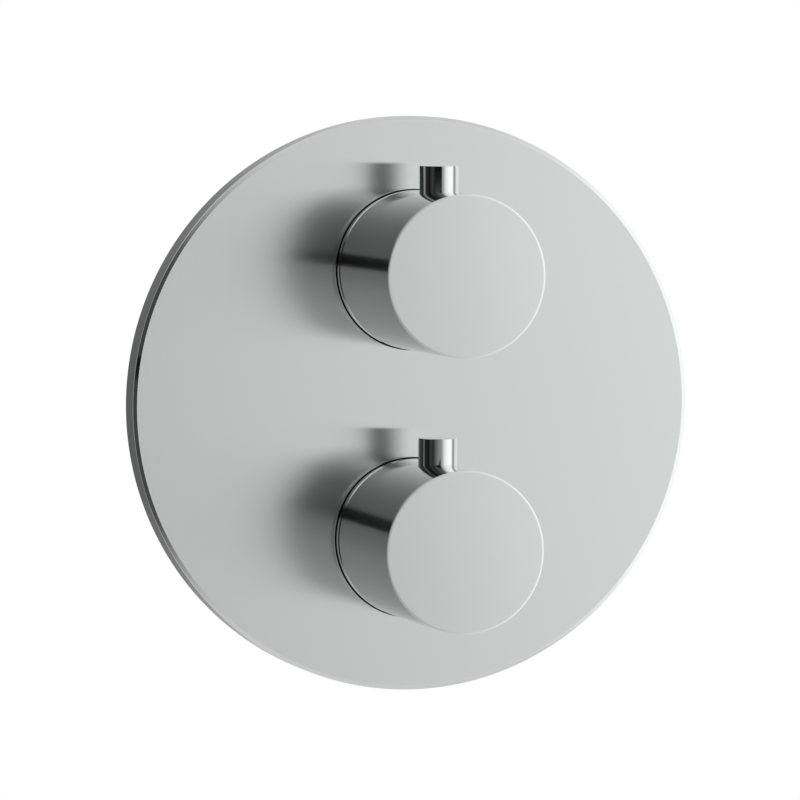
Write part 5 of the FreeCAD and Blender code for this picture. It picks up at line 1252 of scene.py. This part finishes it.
        white = add_node(tree, "ShaderNodeMapRange", {
            "interpolation_type": "SMOOTHSTEP", "From Min": start, "From Max": end, "Value": climb,
        })
        level = add_node(tree, "ShaderNodeMix", {
            "data_type": "RGBA", 0: white, MIX_FROM: round_middle.outputs[MIX_RESULT], MIX_TO: grey(self.tent_top),
        })
        glow = add_node(tree, "ShaderNodeEmission", {"Color": level.outputs[MIX_RESULT]})
        add_node(tree, "ShaderNodeOutputMaterial", {"Surface": glow})
        self.set_on_stage("studio_tent", mesh, material, True)

    def ring_of_light(self, tree: Tree, share: Node, levels: Sequence[float]) -> Node:
        """Spreads the panels' levels round the tent.

        Args:
            tree: the tent's tree.
            share: the place round the tent, from 0 to 1.
            levels: one level for each panel.

        Returns:
            The node that gives the level at each place.
        """
        ring = add_node(tree, "ShaderNodeValToRGB", {"Fac": share})
        stops = ring.color_ramp.elements
        while len(stops) < len(self.panels):
            stops.new(1.0)
        for stop, panel, level in zip(stops, self.panels, levels):
            stop.position = (panel.azimuth_deg + 180) / 360
            stop.color = grey(level)
        return ring

    def bar(self) -> None:
        """Hangs the black bar that draws the dark stripe along the knobs' walls."""
        left, right, low, high = (value * MM for value in self.bar_mm)
        ahead = -self.bar_ahead_mm * MM
        material = bpy.data.materials.new("bar_cloth_black")
        tree = blank_tree(material)
        cloth = add_node(tree, "ShaderNodeEmission", {"Color": linear("000000"), "Strength": 1.0})
        add_node(tree, "ShaderNodeOutputMaterial", {"Surface": cloth})
        self.set_on_stage("studio_bar", self.sheet("studio_bar", [
            (left, ahead, low), (right, ahead, low), (right, ahead, high), (left, ahead, high),
        ]), material, True)

    def lamps(self) -> None:
        """Sets the soft lamps that light what isn't a mirror."""
        for lamp in self.lamp_set:
            data = bpy.data.lights.new(lamp.name, "AREA")
            data.shape = "DISK"
            data.size = lamp.size
            data.energy = lamp.power
            holder = bpy.data.objects.new(lamp.name, data)
            holder.location = lamp.place
            holder.rotation_euler = Vector(lamp.place).to_track_quat("Z", "Y").to_euler()
            holder.visible_glossy = False
            bpy.context.scene.collection.objects.link(holder)

    def sheet(self, name: str, corners: Sequence[Triple]) -> Mesh:
        """Makes a flat mesh of one face.

        Args:
            name: the mesh's name.
            corners: its four corners in order.

        Returns:
            The mesh.
        """
        mesh = bpy.data.meshes.new(name)
        mesh.from_pydata(corners, [], [(0, 1, 2, 3)])
        return mesh

    def set_on_stage(self, name: str, mesh: Mesh, material: Material, mirrors_only: bool) -> None:
        """Puts a piece of the studio on the stage.

        Args:
            name: the piece's name.
            mesh: its mesh.
            material: its material.
            mirrors_only: whether only mirrors see it, or all but mirrors.
        """
        mesh.materials.append(material)
        thing = bpy.data.objects.new(name, mesh)
        bpy.context.scene.collection.objects.link(thing)
        thing.visible_glossy = mirrors_only
        for ray in ("camera", "diffuse", "shadow", "transmission", "volume_scatter"):
            setattr(thing, f"visible_{ray}", not mirrors_only)

    def build(self) -> None:
        """Sets up the whole studio."""
        for step in (self.camera, self.world, self.floor, self.tent, self.bar, self.lamps):
            step()
        bpy.context.scene.view_settings.view_transform = "Standard"
        LOG.info("studio set")


def main(frame: dict[str, Any]) -> None:
    """Builds the visual model round the frame.
    """
    logging.basicConfig(level=logging.INFO, format="%(name)s: %(message)s")
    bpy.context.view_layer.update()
    Studio().build()
    materials = {slot: finish.material() for slot, finish in FINISHES.items()}
    lathe, winder = Lathe(materials), Winder(materials)
    for turned in (FacePlate(), Handle("diverter", AXIS_HEIGHT_MM), Handle("temperature", -AXIS_HEIGHT_MM)):
        turned.dress(turned.build(lathe))
    for wound in (PortThreads(), *SPRINGS):
        wound.dress(wound.build(winder))
    for assembly in CARRIED:
        assembly.dress(frame, materials)


if __name__ == "__main__":
    main(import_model())
